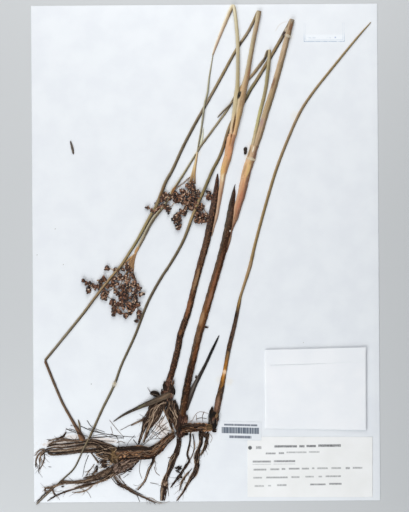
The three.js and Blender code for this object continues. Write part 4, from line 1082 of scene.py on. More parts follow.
# Where the small heads sit
LOWER_HEADS = [
    (-103.1, -22.4), (-100.6, -24.9), (-97, -25.3), (-99.2, -28.6), (-98.1, -31), (-93.8, -28.4),
    (-91, -28), (-88.3, -26.7), (-86.9, -21.2), (-85.2, -22.6), (-88.3, -24), (-82.9, -11.2), (-82.4, -13),
    (-76.4, -13), (-73.9, -14.4), (-70, -13.4), (-66, -9.6), (-66.7, -12.6), (-63.8, -14.8), (-62.7, -17.8),
    (-61.2, -20), (-72.5, -18), (-74, -21), (-70.3, -21.4), (-67.4, -18.8), (-77, -20.6), (-78.4, -24),
    (-64.6, -22), (-67, -23.6), (-59.6, -24), (-82.8, -28), (-80.2, -27.2), (-77.4, -27), (-74.6, -25.6),
    (-72.2, -28), (-69.6, -27), (-66.4, -27.2), (-63.2, -26.6), (-60.4, -27), (-57.8, -27.4),
    (-56.6, -29.8), (-85.2, -31.8), (-86.9, -34), (-83.4, -33), (-84.8, -36.6), (-86.8, -37.8),
    (-76.6, -31.6), (-74, -33), (-71.4, -33.2), (-69.4, -30.4), (-66.6, -31.6), (-63.6, -31.4),
    (-61.4, -33.6), (-59.4, -35), (-58.7, -31.6), (-54.8, -34.4), (-53.2, -34), (-69.4, -35.6),
    (-66.6, -35), (-72.4, -37.4), (-69.8, -39.6), (-66.4, -38.4), (-63.2, -38), (-59.8, -38.2),
    (-78.4, -39.4), (-77, -40.8), (-78.8, -41.8), (-71.4, -41.4), (-67.2, -42), (-64.4, -42.4),
    (-61.4, -42.6), (-58.6, -41.4), (-57, -43), (-74.8, -43.2), (-69.6, -44.4), (-66, -45.6), (-63, -46.2),
    (-60.2, -45.2), (-63.6, -49), (-61.6, -47.6), (-78.2, -46.2), (-76.6, -48), (-74.2, -48.4),
    (-72.8, -50), (-77.9, -50.9), (-67.8, -51.2), (-66.8, -52.4), (-63.8, -50.6), (-57.4, -49.8),
    (-55.9, -50.6), (-57, -53), (-58.7, -57),
]
UPPER_HEADS = [
    (-48.4, 38.4), (-45.3, 35.8), (-42.6, 35.6), (-41, 38), (-38.3, 37.8), (-36.3, 40), (-39.6, 42.6),
    (-37.6, 44), (-37.3, 47.2), (-35.6, 49.4), (-34.6, 45.6), (-33.2, 49.6), (-32.4, 46.8), (-30.6, 49.2),
    (-29.6, 46.6), (-27.6, 49), (-26.6, 46.4), (-25, 50.6), (-24.4, 44.6), (-23.4, 47.6), (-22.2, 44.6),
    (-21.4, 48.6), (-20, 52.6), (-17.8, 52.4), (-19.8, 46.4), (-17.4, 46), (-18, 49.6), (-15, 46.4),
    (-14.8, 49.4), (-13, 45.6), (-12, 48.6), (-19, 42), (-16.8, 42.6), (-14.4, 42), (-15.4, 39),
    (-12.6, 39.6), (-13, 37.6), (-10.8, 37.4), (-10, 40), (-11.4, 42.4), (-9.9, 52.2), (-8.2, 51), (-6, 52),
    (-5, 50.2), (-10.6, 49), (-8.2, 47.2), (-9.8, 45), (-8, 43.4), (-5.4, 45.6), (-6.4, 40.6), (-4.4, 40.6),
    (-2.6, 39.4), (-5.2, 37.8), (-3.6, 36.4), (-8, 37.6), (-6.8, 34.2), (-8.4, 32), (-5, 33), (-4, 30.6),
    (-1.8, 31.2), (1, 32.2), (2.2, 30.2), (-0.2, 26.9), (-3.6, 26.8), (-6, 26.8), (-8, 26.6), (-2.2, 28.8),
    (-6.6, 29.4), (-15.2, 57.8), (-12.6, 55), (-9.4, 56), (-10.8, 59.6), (-31.8, 39.4), (-33.4, 38.4),
    (-30.9, 36.4), (-20.6, 35), (-18.4, 34.6), (-17.6, 32.4), (-16.8, 35), (-24, 32.8), (-25.4, 31.2),
    (-22.2, 30.6), (-26.8, 28.8), (-24, 28.8), (-21.8, 28.2), (-25.4, 26.4), (-22.6, 26.2), (-23.2, 23.4),
    (-24, 21.4), (-21.8, 22.4), (3.4, 50), (4.3, 48), (1.8, 46.6), (3.6, 46),
]
# The stalks that carry the heads
UPPER_STALKS = [
    [(-6.6, 86, 1.8), (-7.4, 80, 2), (-8.4, 73, 2), (-9, 67, 2), (-8.8, 62, 1.6), (-8.4, 58, 1)],
    [(-7.4, 81, 0.8), (-9.2, 73, 1.6), (-10.8, 67, 1.8), (-12.4, 62, 1.6), (-13.6, 58, 1)],
    [(-8.4, 76, 0.8), (-10, 69, 1.6), (-10.8, 63, 1.6), (-11, 58, 1)],
]
LOWER_STALKS = [
    [(-57.6, 3.4, 1.4), (-60, -1, 1.8), (-64.6, -4.6, 1.8), (-69.4, -9.4, 1.4), (-73, -14, 1)],
    [(-58, 2.6, 1.2), (-60, -3.4, 1.6), (-61, -9.6, 1.4), (-61.2, -15.6, 1)],
    [(-58.4, 2, 1.2), (-61.8, -5, 1.4), (-65, -11, 1.2), (-66.6, -17, 0.9)],
    [(-58, 2.6, 1), (-61, -4, 1.5), (-63.2, -10, 1.4), (-63.8, -15, 1)],
]
# The pale web between the lower stalks
LOWER_WEB = [(-58.2, 1.6, 1.2), (-61, -4, 3.2), (-63.2, -9, 5), (-64, -13, 4.6)]
CAPSULE = {"length": 3.2, "width": 1.1}
HUSKS = 3                                      # husks around each capsule
# Widths along a capsule and along a husk, from foot to tip
CAPSULE_FORM = [(0.0, 0.25), (0.1, 0.62), (0.28, 0.92), (0.5, 1.0), (0.7, 0.85), (0.86, 0.5), (0.95, 0.22),
                (1.0, 0.06)]
HUSK_FORM = [(0.0, 0.35), (0.2, 0.8), (0.45, 1.0), (0.75, 0.6), (1.0, 0.06)]


def pod(body, foot, heading, climb, length, width, form, flat, bow, kind, number, sides=7):
    """A pod or husk along a short bowed line, its width given by a form of (share, width)."""
    share = np.array([spot for spot, _ in form])
    wide = np.array([size for _, size in form])
    flat_ahead = math.cos(climb)
    ahead = np.array([math.cos(heading) * flat_ahead, math.sin(heading) * flat_ahead, math.sin(climb)])
    aside = np.array([-math.sin(heading), math.cos(heading), 0.0])
    route = foot + share[:, None] * length * ahead + (share ** 2)[:, None] * bow * aside
    route[:, 2] = np.maximum(route[:, 2], FACE + 0.1 + wide * width * flat)
    strand(body, route, wide * width, sides=sides, flat=flat, kind=kind, number=number)


def head(body, x, y, rng, heading):
    """One small head: a dark base and a few capsules in papery husks, which lean away from the twig."""
    foot = np.array([x, y, FACE + 0.5])
    back = foot - [1.6 * math.cos(heading), 1.6 * math.sin(heading), 0.2]
    pod(body, back, heading, 0.0, 3.4, 1.5, CAPSULE_FORM, 0.4, 0.0, 0, own_number(rng))
    for _ in range(rng.integers(3, 6)):
        turn = heading + rng.normal(0, 1.3)
        length = CAPSULE["length"] * rng.uniform(0.65, 1.0)
        width = CAPSULE["width"] * rng.uniform(0.8, 1.15)
        climb = rng.uniform(0.0, 0.4)
        reach = rng.uniform(-0.7, 0.2) * length
        aside = rng.normal(0, 0.55, 2)
        spot = foot + [reach * math.cos(turn) + aside[0], reach * math.sin(turn) + aside[1],
                       rng.uniform(0.1, 1.4)]
        pod(body, spot, turn, climb, length, width, CAPSULE_FORM, 0.78, 0.0, 0, own_number(rng))
        for _ in range(HUSKS):
            lean = turn + rng.normal(0, 0.5)
            back = rng.uniform(0.1, 0.8)
            start = spot - [back * math.cos(lean), back * math.sin(lean), -rng.uniform(0, 0.9)]
            pod(body, start, lean, climb * rng.uniform(0, 1.4), length * rng.uniform(0.7, 1.1), 0.6,
                HUSK_FORM, 0.34, rng.normal(0, 0.3), 1, own_number(rng), sides=6)


def twig(body, points, rng, radius):
    """A twig that lies along the sheet through its points."""
    course = Course([(x, y, 2 * radius) for x, y in points], 0.8)
    height = FACE + 0.35 + radius + wander(course.run, 0.12, 9, rng)
    aside = course.side * wander(course.run, 0.25, 7, rng)[:, None]
    route = np.column_stack([course.place + aside, height])
    thin = radius * np.linspace(1, 0.7, course.count) * (1 + wander(course.run, 0.12, 5, rng))
    strand(body, route, thin, sides=7, flat=0.8, kind=2, number=own_number(rng))


def heads(body, sprays, spots, rng):
    """Twigs with their heads. A head that sits beside a twig is turned away from it."""
    joints = []
    for points in sprays:
        twig(body, points, rng, 0.3)
        joints += [(0.5 * (a[0] + b[0]), 0.5 * (a[1] + b[1])) for a, b in zip(points, points[1:])]
    for x, y in spots:
        near = min(joints, key=lambda spot: math.hypot(spot[0] - x, spot[1] - y))
        if math.hypot(near[0] - x, near[1] - y) > 1.5:
            twig(body, [near, (0.5 * (near[0] + x) + 0.4, 0.5 * (near[1] + y)), (x, y)], rng, 0.2)
        head(body, x, y, rng, math.atan2(y - near[1], x - near[0]))


def stalk_finish():
    """The skin of the stalks that carry the heads."""
    bands = [(-16, "#a97746"), (0, "#c39561"), (58, "#4b3524"), (65, "#a07c4c"), (72, "#cbaa74"),
             (86, "#e0cba4")]
    return stem_finish("stalk_skin", bands, edge=("#8a5f38", 0.8), light=("#e6cfa4", 0.35),
                       streak=("#8f6a44", 0.4))


def stalks(body, routes, rng):
    for rows in routes:
        stem(body, rows, rng, sides=10, kind=3, strand=own_number(rng))


def lower_heads(finishes, rng):
    """The lower inflorescence: its heads, its fanned stalks and the web between them."""
    body = Body()
    heads(body, LOWER_SPRAYS, LOWER_HEADS, rng)
    stalks(body, LOWER_STALKS, rng)
    stem(body, LOWER_WEB, rng, kind=2)
    body.piece("lower_heads", finishes, "capsule", "inflorescence_lower")


def upper_heads(finishes, rng):
    """The upper inflorescence: its heads, its stalks, two fine twigs beside them, and the knot of paste."""
    body = Body()
    heads(body, UPPER_SPRAYS, UPPER_HEADS, rng)
    stalks(body, UPPER_STALKS, rng)
    for reach in (0.0, 0.5):
        twig(body, [(-12.8, 64.4 - reach), (-18.6, 59.6 - 2 * reach), (-23.8, 55.4 - reach)], rng, 0.24)
    knot(body, rng)
    body.piece("upper_heads", finishes, "capsule", "inflorescence_upper")


KNOT = (-6.9, 84.6)


def knot(body, rng):
    """The small drop of paste that holds the stalk to the folded leaf."""
    spokes = np.arange(20) * TAU / 20
    shares = np.array([1, 0.93, 0.8, 0.6, 0.35, 0.1])
    reach = 1.05 * shares[:, None] * (1 + wander(spokes * 3, 0.08, 19, rng))[None]
    points = np.empty((len(shares), 20, 3))
    points[..., 0] = KNOT[0] + reach * np.cos(spokes)
    points[..., 1] = KNOT[1] + 1.15 * reach * np.sin(spokes)
    points[..., 2] = FACE + 1.7 * np.sqrt(1 - shares ** 2)[:, None]
    body.rings(points, np.zeros(3), 4)


# Rootstock
def bundle(body, rows, count, rng, radius, spread=0.45, lift=0.0, kinds=(0,), over=()):
    """Fibres that run along a route, weaving across its width, each in one of the given skins."""
    course = Course(rows, 1.3)
    course.rise_over(over)
    for _ in range(count):
        first = int(course.count * rng.choice([0, 0, rng.uniform(0, 0.4)]))
        last = int(course.count * rng.choice([1, rng.uniform(0.6, 1)]))
        part = slice(first, max(last, first + 4))
        run = course.run[part]
        width = course.width[part]
        offset = rng.uniform(-spread, spread) + wander(run, 0.3, 26, rng)
        place = course.place[part] + course.side[part] * (np.clip(offset, -0.62, 0.62) * width)[:, None]
        room = SKIN + PRESS["root"] * width
        size = rng.uniform(*radius)
        height = course.low[part] + size + room * (rng.uniform(0, 0.75) * (1 - np.abs(offset))) + lift
        route = np.column_stack([place, height])
        thin = size * np.minimum(1, 0.25 + 0.3 * (run[-1] - run)) * (1 + wander(run, 0.15, 6, rng))
        strand(body, route, thin, sides=6, kind=int(rng.choice(kinds)), number=own_number(rng))


def rootlets(body, rows, count, rng, length, kinds, over=()):
    """Fine side roots that leave a route at a slant and lie curved on the sheet."""
    radius, steps_along = 0.13, 9
    course = Course(rows, 1.0)
    for _ in range(count):
        at = rng.integers(1, course.count - 1)
        side = rng.choice([-1, 1])
        reach = rng.uniform(*length)
        heading = math.atan2(course.along[at, 1], course.along[at, 0]) + side * rng.uniform(0.2, 0.8)
        bend = rng.uniform(-0.12, 0.12)
        steps = np.linspace(0, reach, steps_along)
        turns = heading + bend * steps
        ahead = np.column_stack([np.cos(turns), np.sin(turns)])
        walk = np.cumsum(ahead * (reach / (steps_along - 1)), axis=0)
        place = course.place[at] + walk
        height = raised(place, FACE + 0.12 + 0.4 * np.exp(-steps / 1.5), over)
        strand(body, np.column_stack([place, height]), radius * np.linspace(1, 0.35, steps_along), sides=5,
               kind=int(rng.choice(kinds)), number=own_number(rng))


def raised(place, height, over):
    """Heights along a route, lifted where it crosses other stems."""
    for other in over:
        apart, width, top = other.seen_from(place)
        share = np.clip(0.6 * width + 1.2 - apart, 0, 1)
        height = np.maximum(height, height + (top + 0.1 - height) * share)
    return height


def core(body, rows, rng, kind, press="root", ragged=0.16, **form):
    """The wrinkled root itself."""
    stem(body, rows, rng, press=press, sides=12, step=0.9, ribs=3.0, rib=0.16, furrow=0.3, ragged=ragged,
         kind=kind, strand=own_number(rng), **form)


def hair(body, points, rng, radius, kind, over):
    """A single fine root along its points."""
    course = Course([(x, y, 1) for x, y in points], 1.2)
    height = raised(course.place, FACE + 0.16 + 0.1 * np.abs(wander(course.run, 1, 9, rng)), over)
    route = np.column_stack([course.place, height])
    thin = radius * np.linspace(1, 0.55, course.count)
    strand(body, route, thin, sides=5, kind=kind, number=own_number(rng))


# The single roots and the fan's strands, each with the number of its skin
ROOTS = [
    (1, [(-78.6, -187.6, 4.6), (-74.5, -192.6, 4.4), (-68, -197.4, 3), (-60, -202.2, 2.1), (-51, -206.6, 1.7),
         (-43.6, -210.4, 1)]),
    (0, [(-44.6, -171.8, 2), (-45.6, -176, 1.8), (-48.6, -181, 1.6), (-50.4, -186, 1.5), (-52.6, -192, 1.3),
         (-58.8, -199.6, 0.8)]),
    (0, [(-23.4, -154.8, 2.8), (-23.6, -160, 2.8), (-24.8, -165, 3.2), (-26.5, -170, 4), (-29, -175, 4),
         (-30.8, -180, 3.6), (-32.6, -185, 2.4), (-35, -190, 3), (-35.8, -195, 4.6), (-36.6, -200, 4.2),
         (-37.2, -205, 3.4), (-38, -209, 2.8)]),
    (1, [(-14, -152.2, 1), (-14, -158, 1), (-15.6, -165, 1.1), (-16.6, -170, 1.1), (-15, -175.6, 1.3),
         (-18, -180, 1.8), (-21, -185, 2), (-23.4, -188.4, 2.4), (-26.6, -192, 1.4), (-31, -197.8, 0.8)]),
    (0, [(-5.6, -152, 3.6), (-5.2, -160, 2.6), (-6.6, -165, 2.6), (-8.6, -171, 3.6), (-8.8, -176, 3.6),
         (-9.2, -181, 3.8), (-10.8, -186, 3.6), (-13.6, -190, 2.4), (-16.6, -195, 1.7), (-20, -201, 1.2),
         (-26, -209, 0.7)]),
    (1, [(-15.2, -184.6, 1), (-18.4, -188.4, 1.2), (-21.4, -193, 1.2), (-23, -200, 0.7)]),
    (0, [(0.8, -152, 2.4), (-0.4, -160, 2.3), (-2, -165, 2.2), (-5.6, -171, 1.4)]),
]
FAN = [
    (0, [(-33.8, -125.2, 3.6), (-41, -127, 4.2), (-45.4, -130.6, 5.4), (-47.4, -135, 5), (-50.4, -140, 4.6),
         (-52.4, -145, 3.2), (-54, -150, 1.8), (-56.2, -156, 1.2), (-57.6, -161, 0.8)]),
    (1, [(-36, -124.6, 4.4), (-40, -128.5, 6.4), (-41.6, -134, 5.6), (-44.4, -139.4, 5.2), (-47.2, -144.6, 3),
         (-49.4, -149, 1.6), (-53, -158, 1)]),
    (1, [(-38.6, -128, 0.9), (-42.4, -134, 1), (-46.6, -140, 1.3), (-49.2, -147, 1.6), (-51.4, -152, 1.3),
         (-53.6, -160, 0.8)]),
    (0, [(-30.6, -124.4, 6), (-30, -129, 8.6), (-28.6, -135, 8.8), (-26.4, -142, 8.6), (-25.4, -148, 7)]),
    (1, [(-28.6, -124.4, 3.6), (-27, -129.4, 3.4), (-26.2, -134, 2.4)]),
    (2, [(-37.6, -129.2, 1.2), (-34.4, -134.3, 1.6), (-31.3, -141.8, 1.6), (-29.1, -148.4, 1.4),
         (-28, -152.8, 1.1)]),
    (1, [(-48.6, -137.6, 2.2), (-53, -140, 1.4), (-57, -141.6, 1), (-64, -145, 0.7)]),
]
# The two bundles of roots at the left, strand by strand, each with the number of its skin
UPPER_LEFT = [
    (0, [(-74.6, -166.6, 2), (-79, -165, 3), (-85, -163.2, 2.4), (-95, -160.8, 2), (-105, -161.6, 1.6),
         (-115, -163, 1.4), (-122.5, -163.7, 1.4), (-130, -163.6, 1.5), (-137, -165.4, 1.4)]),
    (2, [(-74.6, -165.4, 1.6), (-79, -163.4, 2.4), (-88, -161.2, 2), (-97, -158.8, 1.8),
         (-108, -159.4, 1.6), (-118, -160.5, 1.5), (-128, -161.2, 1.7), (-135, -162.8, 1.3)]),
    (0, [(-79, -170, 3), (-86, -168, 2.6), (-92, -165.2, 2.2), (-98, -165.2, 1.8), (-106.5, -165.2, 1.4),
         (-113, -166.2, 1.2), (-122, -167.2, 1.2), (-130, -167.6, 1.2), (-136, -167, 1)]),
    (2, [(-92, -166.8, 1.2), (-100, -167, 1.5), (-110, -167.4, 1.5), (-120, -168.6, 1.4), (-128, -169.4, 1.4),
         (-134.4, -168.6, 1)]),
    (2, [(-79, -167.6, 2.4), (-88, -164.6, 2), (-96, -162.6, 1.8), (-106, -163.2, 1.6), (-116, -165.2, 1.7),
         (-124, -165.8, 1.7), (-133, -166, 1.5), (-137, -166.6, 1.1)]),
    (1, [(-75, -165, 1.4), (-79, -162.8, 2), (-88, -159.6, 1.8), (-97, -157.2, 1.5), (-104, -157.4, 1.4),
         (-112, -157.6, 1.3), (-120, -157.4, 1.4), (-128, -158.6, 1.6), (-134, -161, 1.3)]),
    (1, [(-108, -159, 0.8), (-119, -156.2, 0.8), (-127, -155.8, 1), (-134, -157.8, 1.1)]),
    (1, [(-127.4, -156.6, 1.2), (-121.5, -154, 1.2), (-118.4, -150, 0.9)]),
    (2, [(-137, -165.5, 1), (-141.5, -168.5, 1), (-144, -173, 0.9), (-144.6, -180, 0.5)]),
    (1, [(-136.5, -166.5, 1), (-139.5, -169, 1), (-141.5, -173, 0.9), (-141.2, -178.5, 0.8),
         (-142.5, -184, 0.4)]),
    (2, [(-138, -167, 0.8), (-137.2, -171, 0.8), (-138.4, -176, 0.8), (-140.8, -181, 0.4)]),
    (1, [(-140, -167.6, 0.7), (-140.6, -172, 0.7), (-139.6, -177, 0.4)]),
    (1, [(-137, -164.4, 1), (-141, -165.2, 0.9), (-145, -169.8, 0.5)]),
]
LOWER_LEFT = [
    (2, [(-79, -181.6, 3), (-86, -186, 2.8), (-93, -188.8, 2.6), (-100, -190.5, 2.4), (-110, -192, 2.1),
         (-118, -192.3, 2), (-124, -191.4, 1.4)]),
    (0, [(-92, -190.4, 1), (-100, -192, 1.2), (-110, -193.3, 1.1), (-118, -193.6, 1), (-124, -192.6, 1.2)]),
    (0, [(-78, -185, 3), (-84, -188.8, 2.6), (-90, -191.8, 2.4), (-95, -193.4, 2.2), (-105, -195.4, 1.7),
         (-112, -197.7, 1.1)]),
    (1, [(-100, -195.4, 1.2), (-107, -197.2, 1.2), (-115, -199.2, 1.1), (-122, -201.6, 1.1), (-128, -204, 1),
         (-135, -208.5, 0.6)]),
    (2, [(-96, -195, 0.9), (-103, -200, 0.8), (-112, -201.5, 0.6)]),
    (2, [(-120, -193.6, 1.4), (-128, -195.2, 1.8), (-132.6, -196.8, 1.6), (-137.8, -197.2, 1)]),
    (1, [(-130, -196.4, 1.6), (-134, -199.6, 1.4), (-139, -203.8, 1), (-144, -209.6, 0.6)]),
    (2, [(-133, -196.8, 1), (-136.4, -198, 0.9), (-137, -199.6, 0.8), (-134.6, -199.8, 0.7)]),
    (1, [(-132, -197, 1.1), (-129.8, -200.4, 1), (-129, -203.6, 0.8)]),
    (2, [(-95, -177.6, 0.5), (-98.6, -182.6, 0.6), (-102.6, -187.6, 0.5)]),
    (1, [(-82, -180.6, 2), (-90, -185.4, 1.6), (-97, -187.6, 1.4), (-104.4, -189.2, 1)]),
    (0, [(-92.8, -178.6, 1.2), (-93.8, -182.4, 2), (-97.4, -186.4, 1.4)]),
    (0, [(-99, -166, 1.3), (-95, -171.6, 1.4), (-91, -177, 1.3)]),
]
# Fine roots that show one by one
HAIRS = [
    [(-82, -140.5), (-76, -148), (-70, -155)], [(-81, -146), (-79, -153)],
    [(-55, -141), (-62, -143.5), (-73, -149)], [(-61, -153.5), (-66, -159), (-68, -163)],
    [(-62, -157), (-58, -162)], [(-101, -140.5), (-97, -146), (-86, -150.5)],
    [(-119, -147.5), (-107, -152), (-100, -154)], [(-115, -144.5), (-108, -146)],
    [(-100, -170), (-103, -178), (-105, -188)], [(-44.5, -180), (-43, -185), (-40, -187.5)],
    [(-48, -193.5), (-41, -195)],
    [(-14.2, -141.6), (-12.4, -141.2), (-9.7, -136.6), (-6.2, -133.9), (1.3, -135.3)],
    [(-9, -140), (-5.3, -139), (0, -139.6)], [(-8.8, -136.6), (-8.6, -140), (-8.2, -142)],
    [(-2.2, -134), (-3.8, -138), (-3.2, -142)], [(3, -153), (4.5, -156), (3, -160)],
    [(-59.5, -203), (-57, -209.5)], [(-14, -151), (-14.6, -158), (-15, -165), (-17, -175)],
    [(-106, -145.5), (-98, -149), (-80, -153), (-60, -155)],
    [(-116, -147.5), (-110, -149.5), (-105, -152.5), (-98, -155), (-88, -155), (-80, -154), (-70, -155.5)],
    [(-100, -147), (-92, -150), (-84, -152.5), (-75, -153.5)],
    [(-98, -156.4), (-90, -157.6), (-78, -158.4)], [(-99, -155), (-90, -154.6), (-76, -154)],
    [(-76, -159.5), (-72.5, -158.4), (-69, -160)], [(-33, -172.5), (-29, -172)],
    [(-33, -198), (-32.5, -205)], [(-137, -198), (-134, -202)], [(-66, -186), (-71, -189.5)],
    [(-114, -201), (-108, -201.5), (-103, -200.5)], [(-74, -187), (-72, -191.6), (-68, -195.4)],
    [(-34, -143), (-41, -149.6), (-48, -156)], [(-31, -141), (-36, -144.6), (-42, -147)],
    [(-36, -138), (-42, -144), (-47, -152)], [(-34.4, -146), (-40, -152), (-44, -157)],
    [(-50, -146), (-44, -151), (-38, -153)], [(-37, -137), (-40, -143), (-38.5, -149), (-34, -153)],
    [(-46, -151), (-41, -155), (-37, -158)], [(-131, -159.6), (-129, -157), (-124, -155.4)],
    [(-112, -158), (-109.4, -154)], [(-120, -163), (-117, -158.6)], [(-127, -203), (-124.6, -207.4)],
    [(-109, -197), (-101, -201), (-98, -206)],
    [(-52, -206.2), (-46.6, -206.6), (-43, -209), (-38.6, -210.6)],
    [(-46, -208.6), (-41, -210.8), (-35.6, -210.6), (-31.8, -209)],
    [(-33, -147), (-42, -152.4), (-50, -158.6), (-57, -163.4)],
    [(-46, -143), (-50.4, -152), (-54, -158), (-57, -163.4)], [(-43, -146), (-49.6, -154), (-56.4, -163)],
    [(-92, -173.4), (-89, -172), (-85, -174.6)], [(-92, -175.4), (-88.6, -173.6), (-86, -176.2)],
    [(-100, -156.2), (-94, -157.8), (-84, -160)],
    [(-96, -153.6), (-88, -152.6), (-80, -155.4), (-70, -155.8)], [(-81, -152), (-76, -155), (-74, -161)],
    [(-38, -131), (-42, -140), (-46, -147), (-49, -152)],
    [(-35, -136), (-38, -142), (-44, -150), (-52, -160)],
    [(-30, -150), (-37, -148), (-45, -143), (-50, -141)],
    [(-31, -153), (-38, -156), (-46, -156.6), (-53, -158.6)], [(-44.6, -172), (-44, -177), (-42.4, -183)],
    [(-55, -172), (-56.6, -178), (-57, -184), (-55, -190)],
]
# Crumbs of dark earth and broken scale: middle, width and height on the sheet
ROOTSTOCK_CLODS = [(-87.6, -177.4, 5.6, 5), (-86, -168.4, 3.4, 2.6), (-70, -168, 5, 3.6),
                   (-88, -176.4, 4.4, 4), (-86, -174.4, 3.6, 2.4), (-87.4, -178, 4, 2),
                   (-65.5, -182, 4.6, 1.8), (-81, -165, 2.2, 2), (-84, -163, 2.4, 2), (-33, -152, 1.6, 1.2),
                   (-67, -164.4, 6, 2)]
LOOSE_CLODS = [(-93.6, -183, 2.6, 2.4), (-124, -192.4, 2.4, 1.6), (-122, -196, 2.6, 1.2),
               (-53, -140, 3, 3), (-42, -139, 2.6, 3), (-24.8, -182.2, 6, 2.6),
               (-23, -188, 3.4, 3), (0, -62.3, 2.3, 2.3), (-9.3, -104.2, 2, 2)]


def clod(body, x, y, wide, tall, rng, kind, lift=0.5):
    """A crumb of dark earth and broken scale."""
    for _ in range(6):
        spot = np.array([x + rng.uniform(-0.5, 0.2) * wide, y + rng.uniform(-0.5, 0.5) * tall, FACE + lift])
        pod(body, spot, rng.uniform(-0.8, 0.8), 0.1, rng.uniform(0.5, 0.9) * wide, 0.3 * tall, HUSK_FORM, 0.7,
            0.2, kind, own_number(rng))


def crown(body, rows, rng, kinds, scales, length):
    """A swollen stem base wrapped in pointed, fraying scales, whose tips point up the stem."""
    course = Course(rows, 0.8)
    core(body, rows, rng, kinds[0], "crown", 0.1)
    for k in range(scales):
        at = int(course.count * (0.04 + 0.66 * k / scales))
        offset = rng.uniform(-0.44, 0.44)
        foot = course.place[at] + course.side[at] * offset * course.width[at]
        heading = math.atan2(course.along[at, 1], course.along[at, 0]) + 0.3 * offset
        reach = length * rng.uniform(0.6, 1.1)
        end = foot + reach * np.array([math.cos(heading), math.sin(heading)])
        middle = 0.5 * (foot + end) + course.side[at] * offset * 1.0
        wide = course.width[at] * rng.uniform(0.2, 0.36)
        room = SKIN + PRESS["crown"] * course.width[at]
        top = course.low[at] - FACE + room * (1 - 1.1 * offset ** 2) - 0.2
        scale = [(*foot, wide, top * 0.8), (*middle, wide * 1.05, top), (*end, 0.4, top * 0.75)]
        stem(body, scale, rng, press="stem", sides=10, step=0.7, ribs=4.0, rib=0.09, furrow=0.1, ragged=0.18,
             kind=int(rng.choice(kinds)), strand=own_number(rng))


def root_skins():
    """The looks of old root, by their numbers: 0 rotted black, 1 brown, 2 tan where the bark has gone."""
    return [mottled_finish("dark_root_skin", "#120c08", "#33231a", "#5f4a3c", 0.6),
            mottled_finish("brown_root_skin", "#2a1c14", "#624b3b", "#a98f79", 0.65),
            mottled_finish("tan_root_skin", "#4d3c30", "#957b64", "#cdb49b", 0.65)]


# Crown A: its neck's two scales, the ring over the mound, the curled ribbon at the left and the hollow's rim
CROWN_A = [(-31.4, -124.8, 8.4), (-32.4, -118.6, 9.4), (-31.8, -112, 6.4), (-30.6, -105.4, 4.6)]
NECK_SCALES = [
    [(-35, -117, 3), (-35.2, -112.6, 2.4), (-35.4, -107.6, 0.8)],
    [(-28, -120, 2.6), (-27.6, -115.6, 2.6), (-28.6, -111, 0.6)],
]
CROWN_A_RING = [(-37, -117.6, 0.9), (-32.6, -115.8, 1), (-28, -116.3, 0.9)]
RIBBON = [(-39.4, -120, 2.6), (-42.4, -118.6, 4.6), (-45.6, -117.8, 4.4), (-47.8, -118.2, 2.6)]
HOLLOW = [(-33.4, -122.4, 2), (-31.2, -122.9, 3.4), (-29, -122.6, 2)]
# Crown B: a thick side root, and a bit of ring at its foot
CROWN_B = [(-22.8, -156, 5), (-22.2, -151, 7.2), (-22, -145, 8.6), (-20.6, -138, 8), (-20, -134, 6.4)]
SIDE_ROOT = [(-20.4, -152.4, 2), (-17.8, -152.2, 3.2), (-15.6, -153.2, 2)]
RING_BIT = [(-21.4, -152.4, 1.2), (-19.6, -153.6, 1.3), (-20.6, -155.6, 1)]
CROWN_C = [(5, -150, 5), (4.9, -144, 7.4), (5.8, -138, 7), (8, -134, 4.6)]


def scale_skins():
    """The looks of a crown's scales, by their numbers: 0 dark, 1 rotted black, 2 ruddy, 3 torn and pale."""
    return [mottled_finish("scale_skin", "#1f140d", "#543b27", "#91704f", 0.5),
            mottled_finish("rotted_scale", "#0f0906", "#22170f", "#463325", 0.5),
            mottled_finish("ruddy_scale", "#29180f", "#56362a", "#8f6a56", 0.55),
            mottled_finish("torn_scale", "#4a3e34", "#7d6c5d", "#b3a292", 0.6)]


def crown_a(skins, rng):
    """The left shoot's base: a mound under a ringed neck, with a curled ribbon of old scale at its left."""
    body = Body()
    crown(body, CROWN_A, rng, (2, 0, 1, 0), 16, 7)
    for rows in NECK_SCALES:
        core(body, rows, rng, 1, "crown", 0.12)
    core(body, [(x, y, width, 3.0) for x, y, width in CROWN_A_RING], rng, 1, "stem", 0.25)
    core(body, [(x, y, width, 2.6) for x, y, width in HOLLOW], rng, 1, "stem", 0.3)
    core(body, RIBBON, rng, 1, "crown", 0.2)
    ribbon_fibres = [(-39.6, -120, 2), (-43, -118.4, 3.4), (-47, -118, 2)]
    bundle(body, ribbon_fibres, 6, rng, (0.14, 0.26), 0.5, 1.4, (1, 1, 3))
    twig(body, [(-47.4, -116.8), (-48.8, -115), (-49.6, -113)], rng, 0.22)
    core(body, [(-28.9, -118.4, 1.6, 3.4), (-28.2, -121, 1.4, 3.4)], rng, 3, "stem", 0.2)
    fibres = [(-33, -108, 6), (-33, -117, 9), (-33, -124, 8)]
    bundle(body, fibres, 22, rng, (0.14, 0.34), 0.55, 0.9, (0, 1, 1, 2, 3))
    body.piece("crown_a_scales", skins, "dark_sheath", "crown_a")


def crown_b(skins, rng):
    """The right shoot's base, where the two rhizomes meet."""
    body = Body()
    crown(body, CROWN_B, rng, (2, 2, 0, 1), 16, 7)
    core(body, [(-17.4, -141.6, 2), (-16.6, -139.4, 2), (-16.2, -136.4, 0.8)], rng, 3, "crown")
    core(body, SIDE_ROOT, rng, 1, "crown", 0.2)
    core(body, RING_BIT, rng, 3, "crown", 0.2)
    clod(body, -23.5, -138.3, 2.6, 2.4, rng, 1, 2.6)
    fibres = [(-20.6, -136, 7), (-22, -146, 8.6), (-22.6, -155, 6)]
    bundle(body, fibres, 26, rng, (0.16, 0.38), 0.55, 0.9, (2, 2, 1, 1, 0))
    body.piece("crown_b_scales", skins, "dark_sheath", "crown_b")


